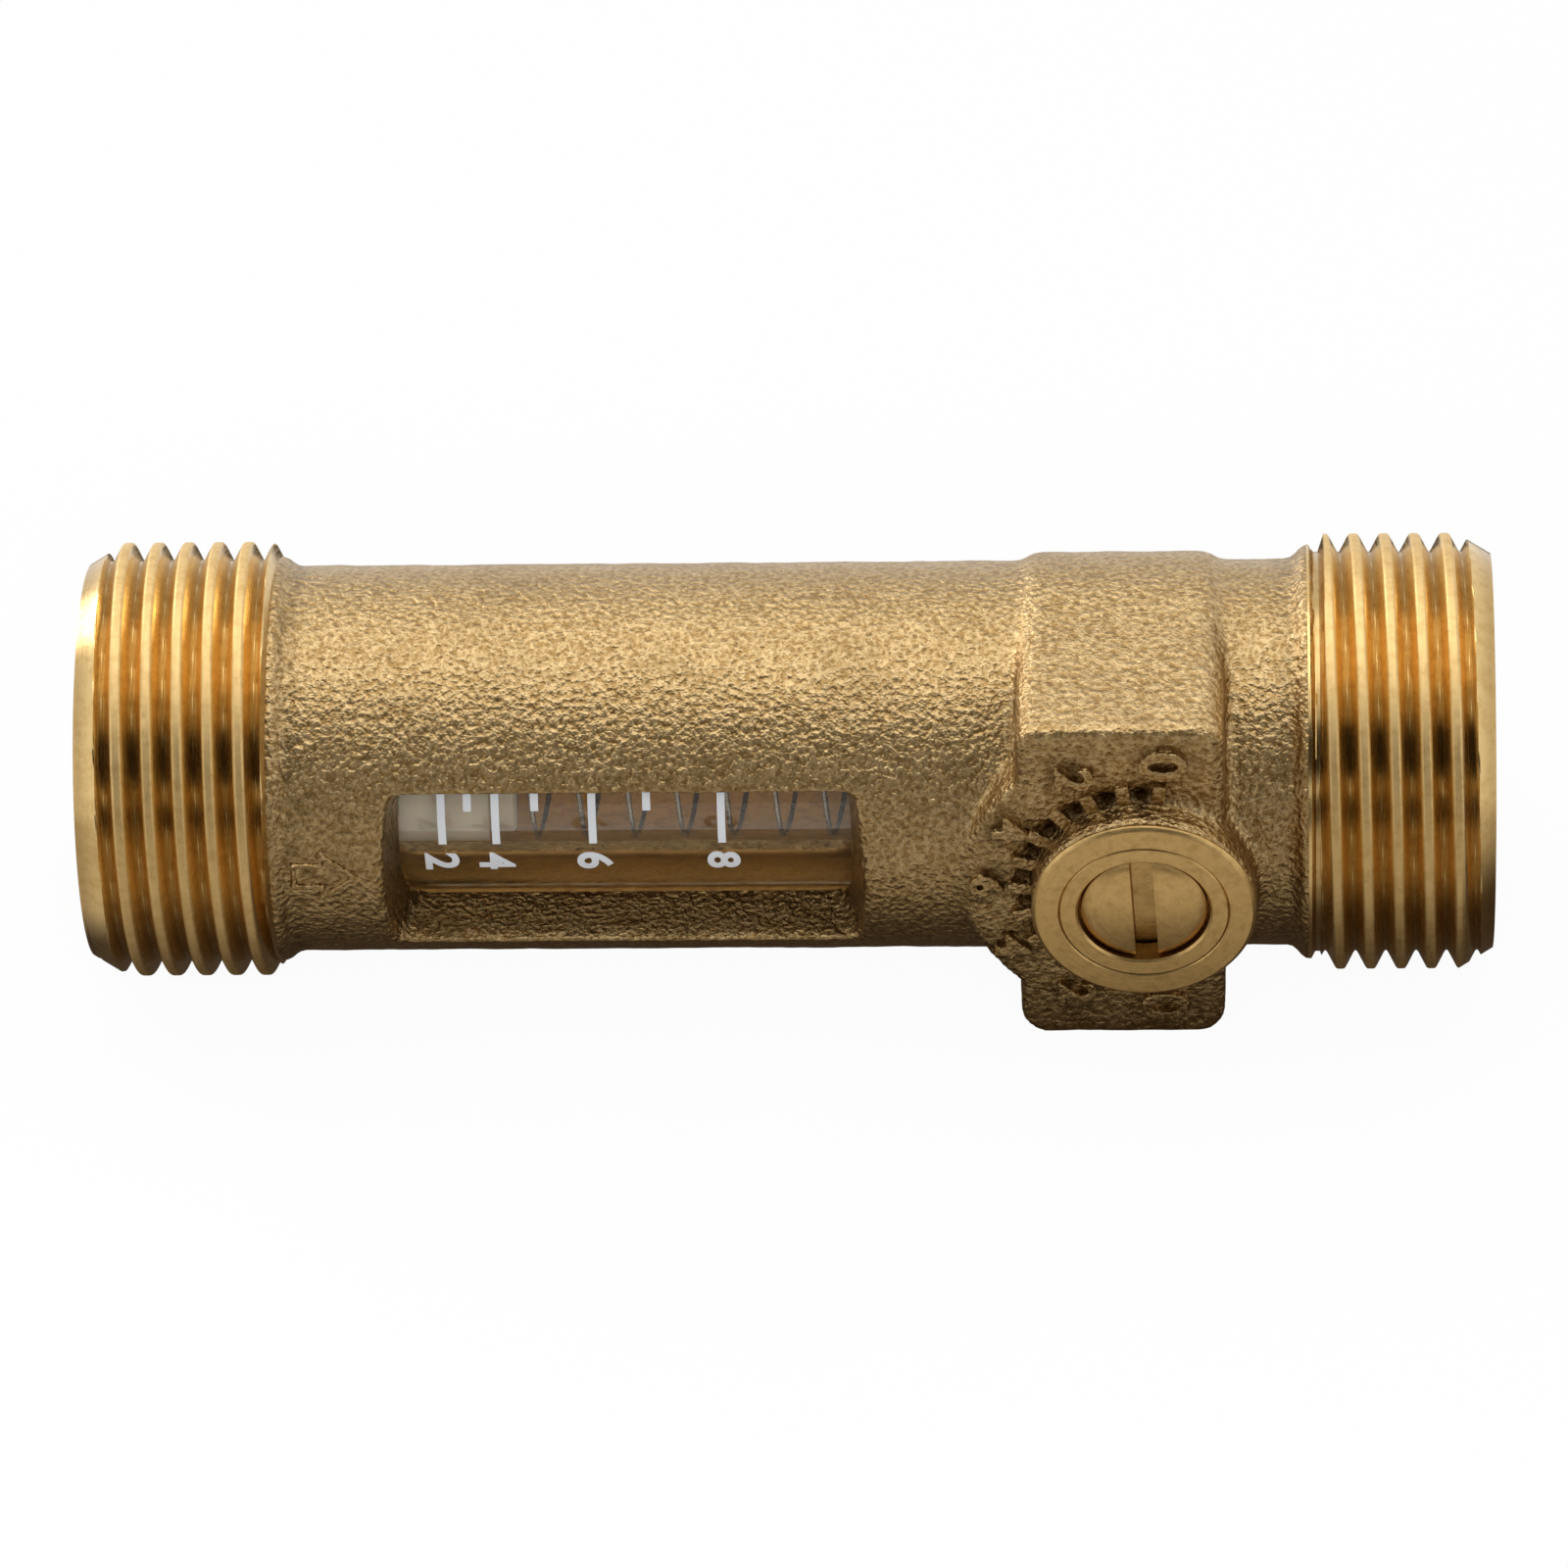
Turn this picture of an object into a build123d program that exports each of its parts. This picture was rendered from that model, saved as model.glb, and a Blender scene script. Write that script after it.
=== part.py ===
from build123d import *

import os

# In-line balancing valve with a sight window and a slotted ball regulator.
# Millimetres. The pipe axis is X and the water runs from the inlet at X = 0
# towards +X. The window and the regulator face -Y, and +Z is up.

# Seals have an eight-sided section, so that their facets stay few
SEAL_SIDES = 8

# Clearances
FIT_GAP = 0.05
SLIP_GAP = 0.1
RING_GAP = 0.05
SEAT_GAP = 0.03
PRESS_GAP = 0.02

# Overall
LENGTH = 107.0
TUBE_R = 14.75

# G 1 male pipe threads at both ends, as plain cylinders over their crests
THREAD_R = 16.62
LEAD_DEPTH = 1.57
LEAD_LENGTH = 2.6
INLET_THREAD_LENGTH = 14.3
INLET_COLLAR_HEIGHT = 0.75
INLET_COLLAR_LENGTH = 0.4
INLET_COLLAR_STEP = 0.3
INLET_COLLAR_TAPER = 0.6
OUTLET_THREAD_LENGTH = 12.8
OUTLET_COLLAR_HEIGHT = 1.05
OUTLET_COLLAR_LENGTH = 0.55
OUTLET_COLLAR_TAPER = 0.65
RELIEF_LENGTH = 1.05
RELIEF_DEPTH = 1.37
MOUTH_R = 12.0
MOUTH_CHAMFER = 0.8

# Ball, seats and the chamber round them
STEM_FROM_OUTLET = 26.45
STEM_X = LENGTH - STEM_FROM_OUTLET
BALL_R = 9.0
BALL_BORE_R = 5.0
BALL_SLOT_WIDTH = 3.1
BALL_SLOT_DEPTH = 2.0
BALL_SLOT_FLOOR_Y = -(BALL_R - BALL_SLOT_DEPTH)
CHAMBER_R = BALL_R + 0.7
SEAT_R = CHAMBER_R - SLIP_GAP
SEAT_INNER_R = BALL_BORE_R + 0.25
SEAT_NEAR = 0.6 * BALL_R
SEAT_THICKNESS = 3.35
SEAT_FAR = SEAT_NEAR + SEAT_THICKNESS
SEAT_RING_R = 0.6
SEAT_STEP = 2 * SEAT_RING_R + 2 * RING_GAP
SEAT_STEP_R = SEAT_R - 1.6
SEAT_RING_MEAN_R = SEAT_R - SEAT_RING_R - RING_GAP
CHAMBER_START = STEM_X - SEAT_FAR - FIT_GAP
CHAMBER_END = STEM_X + SEAT_FAR + FIT_GAP
PASSAGE_R = SEAT_INNER_R + 0.15
PASSAGE_LENGTH = 5.45

# Screwed ring that clamps the downstream seat
RETAINER_LENGTH = 6.9
RETAINER_WALL = 5.35
RETAINER_HOLE_R = SEAT_INNER_R + 0.35
RETAINER_R = RETAINER_HOLE_R + RETAINER_WALL
RETAINER_BORE_R = RETAINER_R + FIT_GAP
RETAINER_START = CHAMBER_END + FIT_GAP
RETAINER_BORE_END = RETAINER_START + RETAINER_LENGTH + 0.7
RETAINER_RING_R = 0.5
RETAINER_RING_OFFSET = 2.2
RETAINER_GROOVE_R = RETAINER_R - 2 * RETAINER_RING_R - RING_GAP
DRIVER_SLOT_WIDTH = 2.5
DRIVER_SLOT_DEPTH = 1.8

# Valve block, dial lobe and boss
BLOCK_UPSTREAM = 9.5
BLOCK_DOWNSTREAM = 6.1
BLOCK_START = STEM_X - BLOCK_UPSTREAM
BLOCK_END = STEM_X + BLOCK_DOWNSTREAM
BLOCK_HALF = TUBE_R + 0.65
DIAL_Y = -(TUBE_R + 0.25)
BLOCK_END_R = 1.7
DIAL_EDGE_R = 0.55
LOBE_R = 13.8
LOBE_DEPTH = 7.0
BOSS_R = 8.5
BOSS_HEIGHT = 3.1
BOSS_Y = DIAL_Y - BOSS_HEIGHT
BOSS_CHAMFER = 0.4

# Stem and the gland ring over it
CLOSED_TURN = -2.7
SHANK_R = 4.0
SHANK_BORE_R = SHANK_R + 0.12
SHANK_BORE_LENGTH = 4.2
POCKET_R = 6.4
POCKET_FLOOR_Y = -(CHAMBER_R + SHANK_BORE_LENGTH)
FLANGE_R = POCKET_R - 0.25
WASHER_THICKNESS = 0.5
WASHER_TOP_Y = POCKET_FLOOR_Y - FIT_GAP - WASHER_THICKNESS
GLAND_THICKNESS = 2.0
GLAND_R = POCKET_R - PRESS_GAP
GLAND_HOLE_R = 5.0
GLAND_TOP_Y = BOSS_Y + PRESS_GAP
GLAND_FLOOR_Y = GLAND_TOP_Y + GLAND_THICKNESS
HEAD_R = GLAND_HOLE_R - 0.25
HEAD_CHAMFER = 0.75
HEAD_RECESS = 0.1
HEAD_Y = BOSS_Y + HEAD_RECESS
DRIVE_WIDTH = 1.7
DRIVE_DEPTH = 2.2
TANG_LENGTH = 7.4
TANG_END_CLEARANCE = 0.2
STEM_RING_R = 0.6
STEM_RING_GROOVE = 2 * STEM_RING_R + 0.2
STEM_RING_UPPER_Y = POCKET_FLOOR_Y + 1.3
STEM_RING_LOWER_Y = STEM_RING_UPPER_Y + STEM_RING_GROOVE + 0.4

# Clear sight tube and the ring that clamps it
LOCK_RING_DEPTH = 10.85
LOCK_RING_LENGTH = 3.3
LOCK_RING_R = MOUTH_R - FIT_GAP
GLASS_START = LOCK_RING_DEPTH + LOCK_RING_LENGTH + FIT_GAP
GLASS_R = 9.9
GLASS_FLANGE_R = MOUTH_R - SLIP_GAP
GLASS_FLANGE_LENGTH = 4.85
GLASS_BORE_R = 6.55
SIGHT_BORE_R = GLASS_R + 0.15
SIGHT_BORE_START = GLASS_START + GLASS_FLANGE_LENGTH + FIT_GAP
SIGHT_BORE_END = CHAMBER_START - PASSAGE_LENGTH
GLASS_END = SIGHT_BORE_END - SLIP_GAP
GLASS_CONE_FLARE = 1.2
GLASS_CONE_R = GLASS_BORE_R + GLASS_CONE_FLARE
GLASS_CONE_LENGTH = 4.2
GLASS_CAGE_STEP = 1.3
GLASS_CAGE_R = GLASS_CONE_R + GLASS_CAGE_STEP
GLASS_CAGE_DEPTH = 2.1
GLASS_CONE_END = GLASS_START + GLASS_CAGE_DEPTH + GLASS_CONE_LENGTH
GLASS_STOP_STEP = 1.3
GLASS_STOP_R = GLASS_BORE_R + GLASS_STOP_STEP
GLASS_STOP_DEPTH = 2.0
LOCK_RING_HOLE_R = GLASS_CAGE_R - 0.2
FLANGE_RING_R = 0.6
FLANGE_GROOVE_R = GLASS_FLANGE_R - 2 * FLANGE_RING_R
FLANGE_GROOVE_WIDTH = 2 * FLANGE_RING_R + 0.3
FLANGE_GROOVE_X = GLASS_START + 2.6
TAIL_RING_R = 0.6
TAIL_GROOVE_R = GLASS_R - 2 * TAIL_RING_R
TAIL_GROOVE_WIDTH = 2 * TAIL_RING_R + 0.3
TAIL_GROOVE_X = GLASS_END - GLASS_STOP_DEPTH - 1.9

# Sight window, whose end walls lean outwards
WINDOW_START = 22.75
WINDOW_LENGTH = 37.0
WINDOW_LEAN = 2.5
WINDOW_HALF_HEIGHT = 7.3
WINDOW_DEPTH = 9.25
WINDOW_OVERRUN = 1.25
WINDOW_FLOOR_Y = -(TUBE_R - WINDOW_DEPTH)
WINDOW_TOP_Y = -(TUBE_R + WINDOW_OVERRUN)
WINDOW_CORNER_R = 1.0

# Float, spring and what guides them
FLOAT_START = GLASS_CONE_END + 2.5
FLOAT_R = GLASS_BORE_R - 0.15
FLOAT_LENGTH = 7.8
FLOAT_BORE_R = 2.8
FLOAT_CHAMFER = 0.3
FLOAT_SHOULDER = FLOAT_START + FLOAT_LENGTH
SPIGOT_R = 5.7
SPIGOT_LENGTH = 2.1
WIRE_R = 0.2
WIRE_SIDES = 6
SPRING_MEAN_R = SPIGOT_R + WIRE_R + 0.15
SPRING_PITCH = 3.73
SPRING_START_ANGLE = 245.0
SPINDLE_R = FLOAT_BORE_R - 0.27
SPINDLE_TIP_R = 1.3
SPINDLE_START = GLASS_START + 0.4
SPINDLE_TAPER_START = FLOAT_START + 1.0
SPINDLE_TIP_LENGTH = 4.0
SPINDLE_END = GLASS_END - 0.2
SPINDLE_TAPER_END = SPINDLE_END - SPINDLE_TIP_LENGTH
CAGE_START = GLASS_START + FIT_GAP
CAGE_RIM_R = GLASS_CAGE_R - SLIP_GAP
CAGE_RIM_HOLE_R = GLASS_CONE_R - 0.4
CAGE_DEPTH = GLASS_CAGE_DEPTH - 0.15
CAGE_HUB_R = SPINDLE_R + 1.2
CAGE_HUB_LENGTH = 3.4
CAGE_LEG_R = GLASS_BORE_R - 0.5
CAGE_LEG_DEPTH = 1.3
RIB_WIDTH = 1.2
RIB_ROOT = 0.5
CAGE_LEGS = 3
STOP_START = GLASS_END - GLASS_STOP_DEPTH + FIT_GAP
STOP_THICKNESS = GLASS_STOP_DEPTH - SLIP_GAP
STOP_R = GLASS_STOP_R - SLIP_GAP
STOP_HOLE_R = SPRING_MEAN_R - 0.6
STOP_HUB_R = SPINDLE_TIP_R + 1.2
STOP_SPOKES = 4


def turned(points):
    """Solid of revolution about the pipe axis from (x, radius) points."""
    profile = make_face(Polyline([(x, r) for x, r in points], close=True))
    return revolve(profile, Axis.X)


def ring(x0, x1, outer, inner):
    """Plain ring on the pipe axis between two stations."""
    return turned([(x0, inner), (x1, inner), (x1, outer), (x0, outer)])


def seal(x, mean_r, section_r):
    """O-ring on the pipe axis."""
    section = Pos(x, mean_r, 0) * RegularPolygon(section_r, SEAL_SIDES)
    return revolve(section, Axis.X)


def along_stem(y0, y1, radius):
    """Cylinder on the stem axis, y0 being the end nearer the pipe axis."""
    base = Plane(origin=(STEM_X, y0, 0), x_dir=(1, 0, 0), z_dir=(0, -1, 0))
    return extrude(base * Circle(radius), y0 - y1)


def stem_seal(y, mean_r, section_r):
    """O-ring on the stem axis."""
    section = Pos(STEM_X + mean_r, y, 0) * RegularPolygon(section_r, SEAL_SIDES)
    return revolve(section, Axis((STEM_X, 0, 0), (0, 1, 0)))


def turn_stem(shape):
    """Turn a regulator piece from square with the pipe to its closed rest."""
    return Pos(STEM_X, 0, 0) * Rot(0, CLOSED_TURN, 0) * Pos(-STEM_X, 0, 0) * shape


def ribs(x0, x1, r0, r1, count, width, first_angle=90.0):
    """Radial ribs round the pipe axis."""
    bar = Pos((x0 + x1) / 2, 0, (r0 + r1) / 2) * Box(x1 - x0, width, r1 - r0)
    return [Rot(first_angle - 90.0 + i * 360.0 / count, 0, 0) * bar for i in range(count)]


def near(a, b):
    """True where two coordinates are the same place."""
    return abs(a - b) < 0.01


def fused(shapes):
    """One solid from overlapping pieces."""
    first, *others = shapes
    for piece in others:
        first = first + piece
    return first


def tube():
    """Outside of the casting from end to end, with the stepped waterway."""
    outlet_thread = LENGTH - OUTLET_THREAD_LENGTH
    relief_start = outlet_thread - RELIEF_LENGTH
    collar_start = INLET_THREAD_LENGTH + INLET_COLLAR_STEP
    collar_end = collar_start + INLET_COLLAR_LENGTH
    collar_r = TUBE_R + INLET_COLLAR_HEIGHT
    lead_r = THREAD_R - LEAD_DEPTH
    outer = [
        (INLET_THREAD_LENGTH, THREAD_R),
        (collar_start, collar_r),
        (collar_end, collar_r),
        (collar_end + INLET_COLLAR_TAPER, TUBE_R),
        (relief_start - OUTLET_COLLAR_LENGTH - OUTLET_COLLAR_TAPER, TUBE_R),
        (relief_start - OUTLET_COLLAR_LENGTH, TUBE_R + OUTLET_COLLAR_HEIGHT),
        (relief_start, TUBE_R + OUTLET_COLLAR_HEIGHT),
        (relief_start + RELIEF_LENGTH / 3, THREAD_R - RELIEF_DEPTH),
        (outlet_thread - RELIEF_LENGTH / 3, THREAD_R - RELIEF_DEPTH),
        (outlet_thread, THREAD_R),
        (LENGTH - LEAD_LENGTH, THREAD_R),
        (LENGTH, lead_r),
    ]
    inner = [
        (LENGTH, MOUTH_R + MOUTH_CHAMFER),
        (LENGTH - MOUTH_CHAMFER, MOUTH_R),
        (RETAINER_BORE_END, MOUTH_R),
        (RETAINER_BORE_END, RETAINER_BORE_R),
        (CHAMBER_END, RETAINER_BORE_R),
        (CHAMBER_END, CHAMBER_R),
        (CHAMBER_START, CHAMBER_R),
        (CHAMBER_START, PASSAGE_R),
        (SIGHT_BORE_END, PASSAGE_R),
        (SIGHT_BORE_END, SIGHT_BORE_R),
        (SIGHT_BORE_START, SIGHT_BORE_R),
        (SIGHT_BORE_START, MOUTH_R),
        (MOUTH_CHAMFER, MOUTH_R),
        (0, MOUTH_R + MOUTH_CHAMFER),
        (0, lead_r),
        (LEAD_LENGTH, THREAD_R),
    ]
    return turned(outer + inner)


def valve_block():
    """U-shaped block with its dial plane, lobe and round boss, still solid."""
    section_plane = Plane(origin=(BLOCK_START, 0, 0), x_dir=(0, 1, 0), z_dir=(1, 0, 0))
    back = Circle(BLOCK_HALF) - Pos(-BLOCK_HALF, 0) * Rectangle(2 * BLOCK_HALF, 3 * BLOCK_HALF)
    section = back + Pos(DIAL_Y / 2, 0) * Rectangle(-DIAL_Y, 2 * BLOCK_HALF)
    block = extrude(section_plane * section, BLOCK_END - BLOCK_START)
    ends = [
        e for e in block.edges()
        if (near(e.center().X, BLOCK_START) or near(e.center().X, BLOCK_END)) and not near(e.center().Y, DIAL_Y)
    ]
    block = fillet(ends, BLOCK_END_R)
    dial = block.faces().sort_by(Axis.Y)[0]
    block = fillet(dial.edges(), DIAL_EDGE_R)
    lobe = along_stem(DIAL_Y + LOBE_DEPTH, DIAL_Y, LOBE_R)
    rim = [e for e in lobe.edges() if near(e.center().Y, DIAL_Y)]
    lobe = fillet(rim, DIAL_EDGE_R)
    keep = Pos(BLOCK_START - LOBE_R / 2 + DIAL_EDGE_R, 0, 0) * Box(LOBE_R, 4 * LOBE_R, 4 * LOBE_R)
    boss = along_stem(DIAL_Y + LOBE_DEPTH, BOSS_Y, BOSS_R)
    lip = [e for e in boss.edges() if near(e.center().Y, BOSS_Y)]
    boss = chamfer(lip, BOSS_CHAMFER)
    return block + (lobe & keep) + boss


def valve_body():
    """Brass casting: threaded tube, window, valve block, dial lobe and boss."""
    block = valve_block()
    hollow = turned(
        [
            (SIGHT_BORE_END, 0),
            (SIGHT_BORE_END, PASSAGE_R),
            (CHAMBER_START, PASSAGE_R),
            (CHAMBER_START, CHAMBER_R),
            (CHAMBER_END, CHAMBER_R),
            (CHAMBER_END, 0),
        ]
    )
    body = tube() + (block - hollow)
    body = body - along_stem(POCKET_FLOOR_Y, BOSS_Y - 1, POCKET_R)
    body = body - along_stem(-CHAMBER_R / 2, BOSS_Y - 1, SHANK_BORE_R)
    window_end = WINDOW_START + WINDOW_LENGTH
    corners = [
        (WINDOW_START + WINDOW_LEAN, WINDOW_FLOOR_Y),
        (window_end - WINDOW_LEAN, WINDOW_FLOOR_Y),
        (window_end, WINDOW_TOP_Y),
        (WINDOW_START, WINDOW_TOP_Y),
    ]
    window = extrude(make_face(Polyline(corners, close=True)), WINDOW_HALF_HEIGHT, both=True)
    uprights = [
        e for e in window.edges()
        if abs(e.center().Z) > WINDOW_HALF_HEIGHT - 0.01 and abs(e.tangent_at(0.5).Y) > 0.9
    ]
    window = fillet(uprights, WINDOW_CORNER_R)
    return body - window


def sight_tube():
    """Thick clear tube with a flange, two O-ring grooves and a plain bore."""
    tube = turned(
        [
            (GLASS_START, GLASS_CAGE_R),
            (GLASS_START, GLASS_FLANGE_R),
            (GLASS_START + GLASS_FLANGE_LENGTH, GLASS_FLANGE_R),
            (GLASS_START + GLASS_FLANGE_LENGTH, GLASS_R),
            (GLASS_END, GLASS_R),
            (GLASS_END, GLASS_STOP_R),
            (GLASS_END - GLASS_STOP_DEPTH, GLASS_STOP_R),
            (GLASS_END - GLASS_STOP_DEPTH, GLASS_BORE_R),
            (GLASS_CONE_END, GLASS_BORE_R),
            (GLASS_START + GLASS_CAGE_DEPTH, GLASS_CONE_R),
            (GLASS_START + GLASS_CAGE_DEPTH, GLASS_CAGE_R),
        ]
    )
    half = FLANGE_GROOVE_WIDTH / 2
    outer = GLASS_FLANGE_R + FLANGE_RING_R
    tube = tube - ring(FLANGE_GROOVE_X - half, FLANGE_GROOVE_X + half, outer, FLANGE_GROOVE_R)
    half = TAIL_GROOVE_WIDTH / 2
    outer = GLASS_R + TAIL_RING_R
    return tube - ring(TAIL_GROOVE_X - half, TAIL_GROOVE_X + half, outer, TAIL_GROOVE_R)


def tube_inlet_o_ring():
    """Seal in the flange groove of the sight tube."""
    return seal(FLANGE_GROOVE_X, FLANGE_GROOVE_R + FLANGE_RING_R + RING_GAP, FLANGE_RING_R)


def tube_outlet_o_ring():
    """Seal in the tail groove of the sight tube."""
    return seal(TAIL_GROOVE_X, TAIL_GROOVE_R + TAIL_RING_R + RING_GAP, TAIL_RING_R)


def slotted_ring(x0, x1, outer, inner, slot_x):
    """Screwed ring with two driver slots cut in the face at slot_x."""
    body = ring(x0, x1, outer, inner)
    cut = Pos(slot_x, 0, 0) * Box(2 * DRIVER_SLOT_DEPTH, DRIVER_SLOT_WIDTH, 3 * outer)
    return body - cut


def tube_retaining_ring():
    """Screwed ring that clamps the sight tube from the inlet."""
    end = LOCK_RING_DEPTH + LOCK_RING_LENGTH
    return slotted_ring(LOCK_RING_DEPTH, end, LOCK_RING_R, LOCK_RING_HOLE_R, LOCK_RING_DEPTH)


def inlet_cage():
    """Spoked cage in the tube's mouth: spindle hub and three legs for the float."""
    end = CAGE_START + CAGE_DEPTH
    rim = ring(CAGE_START, end, CAGE_RIM_R, CAGE_RIM_HOLE_R)
    hub = ring(CAGE_START, CAGE_START + CAGE_HUB_LENGTH, CAGE_HUB_R, SPINDLE_R + PRESS_GAP)
    spokes = ribs(CAGE_START, end, CAGE_HUB_R - RIB_ROOT, CAGE_RIM_HOLE_R + RIB_ROOT, CAGE_LEGS, RIB_WIDTH)
    legs = ribs(
        CAGE_START, FLOAT_START - PRESS_GAP, CAGE_LEG_R - CAGE_LEG_DEPTH, CAGE_LEG_R, CAGE_LEGS, RIB_WIDTH
    )
    return fused([rim, hub] + spokes + legs)


def metering_spindle():
    """Fixed steel spindle that tapers away from the float's bore."""
    return turned(
        [
            (SPINDLE_START, 0),
            (SPINDLE_START, SPINDLE_R),
            (SPINDLE_TAPER_START, SPINDLE_R),
            (SPINDLE_TAPER_END, SPINDLE_TIP_R),
            (SPINDLE_END, SPINDLE_TIP_R),
            (SPINDLE_END, 0),
        ]
    )


def float_body():
    """Sleeve float with a smaller spigot that centres the spring."""
    end = FLOAT_SHOULDER + SPIGOT_LENGTH
    return turned(
        [
            (FLOAT_START, FLOAT_BORE_R),
            (FLOAT_START, FLOAT_R - FLOAT_CHAMFER),
            (FLOAT_START + FLOAT_CHAMFER, FLOAT_R),
            (FLOAT_SHOULDER, FLOAT_R),
            (FLOAT_SHOULDER, SPIGOT_R),
            (end - FLOAT_CHAMFER, SPIGOT_R),
            (end, SPIGOT_R - FLOAT_CHAMFER),
            (end, FLOAT_BORE_R),
        ]
    )


def flow_spring():
    """Open-coiled right-hand wire spring between the float and its stop."""
    start = FLOAT_SHOULDER + WIRE_R + PRESS_GAP
    length = STOP_START - WIRE_R - PRESS_GAP - start
    path = Edge.make_helix(SPRING_PITCH, length, SPRING_MEAN_R)
    plane = Plane(origin=path.position_at(0), x_dir=(1, 0, 0), z_dir=path.tangent_at(0))
    wire = Solid.sweep((plane * RegularPolygon(WIRE_R, WIRE_SIDES)).faces()[0], path, is_frenet=True)
    return Pos(start, 0, 0) * Rot(SPRING_START_ANGLE + 90.0, 0, 0) * Rot(0, 90, 0) * wire


def spring_stop():
    """Spoked stop at the tube's outlet, with a hub for the spindle's tip."""
    end = STOP_START + STOP_THICKNESS
    rim = ring(STOP_START, end, STOP_R, STOP_HOLE_R)
    hub = ring(STOP_START, end, STOP_HUB_R, SPINDLE_TIP_R + PRESS_GAP)
    spokes = ribs(STOP_START, end, STOP_HUB_R - RIB_ROOT, STOP_HOLE_R + RIB_ROOT, STOP_SPOKES, RIB_WIDTH)
    return fused([rim, hub] + spokes)


def ball():
    """Bored ball with a slot across its top for the stem's tang."""
    shape = Pos(STEM_X, 0, 0) * Sphere(BALL_R)
    shape = shape - Pos(STEM_X, 0, 0) * Cylinder(BALL_BORE_R, 3 * BALL_R)
    depth = BALL_R + BALL_SLOT_FLOOR_Y + 1
    slot = Pos(STEM_X, BALL_SLOT_FLOOR_Y - depth / 2, 0) * Box(3 * BALL_R, depth, BALL_SLOT_WIDTH)
    return turn_stem(shape - slot)


def stem():
    """Stem with a slotted head, a retained flange, a grooved shank and a tang."""
    flange_y = WASHER_TOP_Y - FIT_GAP
    shank_y = -CHAMBER_R + FIT_GAP
    head = along_stem(GLAND_FLOOR_Y, HEAD_Y, HEAD_R)
    lip = [e for e in head.edges() if near(e.center().Y, HEAD_Y)]
    head = chamfer(lip, HEAD_CHAMFER / 2, HEAD_CHAMFER)
    neck = along_stem(GLAND_FLOOR_Y + 2 * FIT_GAP, GLAND_FLOOR_Y - FIT_GAP, HEAD_R)
    flange = along_stem(flange_y, GLAND_FLOOR_Y + FIT_GAP, FLANGE_R)
    shank = along_stem(shank_y, flange_y, SHANK_R)
    half = STEM_RING_GROOVE / 2
    for y in (STEM_RING_LOWER_Y, STEM_RING_UPPER_Y):
        core = along_stem(y + half, y - half, SHANK_R - 2 * STEM_RING_R)
        shank = shank - (along_stem(y + half, y - half, SHANK_R + STEM_RING_R) - core)
    tang_floor = BALL_SLOT_FLOOR_Y - TANG_END_CLEARANCE
    tang_height = tang_floor - shank_y
    tang = Pos(STEM_X, tang_floor - tang_height / 2, 0) * Box(
        TANG_LENGTH, tang_height, BALL_SLOT_WIDTH - 2 * SLIP_GAP
    )
    whole = fused([head, neck, flange, shank, tang])
    slot = Pos(STEM_X, HEAD_Y, 0) * Box(DRIVE_WIDTH, 2 * DRIVE_DEPTH, 3 * HEAD_R)
    return turn_stem(whole - slot)


def stem_o_ring(y):
    """Seal on the shank of the stem."""
    return stem_seal(y, SHANK_R - STEM_RING_R + RING_GAP, STEM_RING_R)


def thrust_washer():
    """Plastic washer under the stem's flange."""
    floor_y = WASHER_TOP_Y + WASHER_THICKNESS
    outer = along_stem(floor_y, WASHER_TOP_Y, FLANGE_R)
    return outer - along_stem(floor_y, WASHER_TOP_Y, SHANK_BORE_R)


def gland_ring():
    """Ring pressed into the boss over the stem's flange."""
    outer = along_stem(GLAND_FLOOR_Y, GLAND_TOP_Y, GLAND_R)
    return outer - along_stem(GLAND_FLOOR_Y, GLAND_TOP_Y, GLAND_HOLE_R)


def inlet_seat():
    """Ball seat upstream of the ball, hollowed to the ball's radius."""
    step = SEAT_FAR - SEAT_STEP
    points = [
        (SEAT_NEAR, SEAT_INNER_R),
        (SEAT_FAR, SEAT_INNER_R),
        (SEAT_FAR, SEAT_STEP_R),
        (step, SEAT_STEP_R),
        (step, SEAT_R),
        (SEAT_NEAR, SEAT_R),
    ]
    blank = turned([(STEM_X - x, r) for x, r in points])
    return blank - Pos(STEM_X, 0, 0) * Sphere(BALL_R + SEAT_GAP)


def outlet_seat():
    """Ball seat downstream of the ball, the inlet seat mirrored."""
    return mirror(inlet_seat(), Plane(origin=(STEM_X, 0, 0), z_dir=(1, 0, 0)))


def seat_o_ring(side):
    """Spring ring behind a ball seat; side is -1 upstream and +1 downstream."""
    x = SEAT_FAR - SEAT_STEP / 2
    return seal(STEM_X + side * x, SEAT_RING_MEAN_R, SEAT_RING_R)


def seat_retainer():
    """Screwed ring that clamps the downstream seat from the outlet."""
    end = RETAINER_START + RETAINER_LENGTH
    body = slotted_ring(RETAINER_START, end, RETAINER_R, RETAINER_HOLE_R, end)
    x = RETAINER_START + RETAINER_RING_OFFSET
    half = RETAINER_RING_R + 3 * RING_GAP
    return body - ring(x - half, x + half, RETAINER_R + RETAINER_RING_R, RETAINER_GROOVE_R)


def retainer_o_ring():
    """Seal round the seat retainer."""
    x = RETAINER_START + RETAINER_RING_OFFSET
    return seal(x, RETAINER_GROOVE_R + RETAINER_RING_R + RING_GAP, RETAINER_RING_R)


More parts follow.
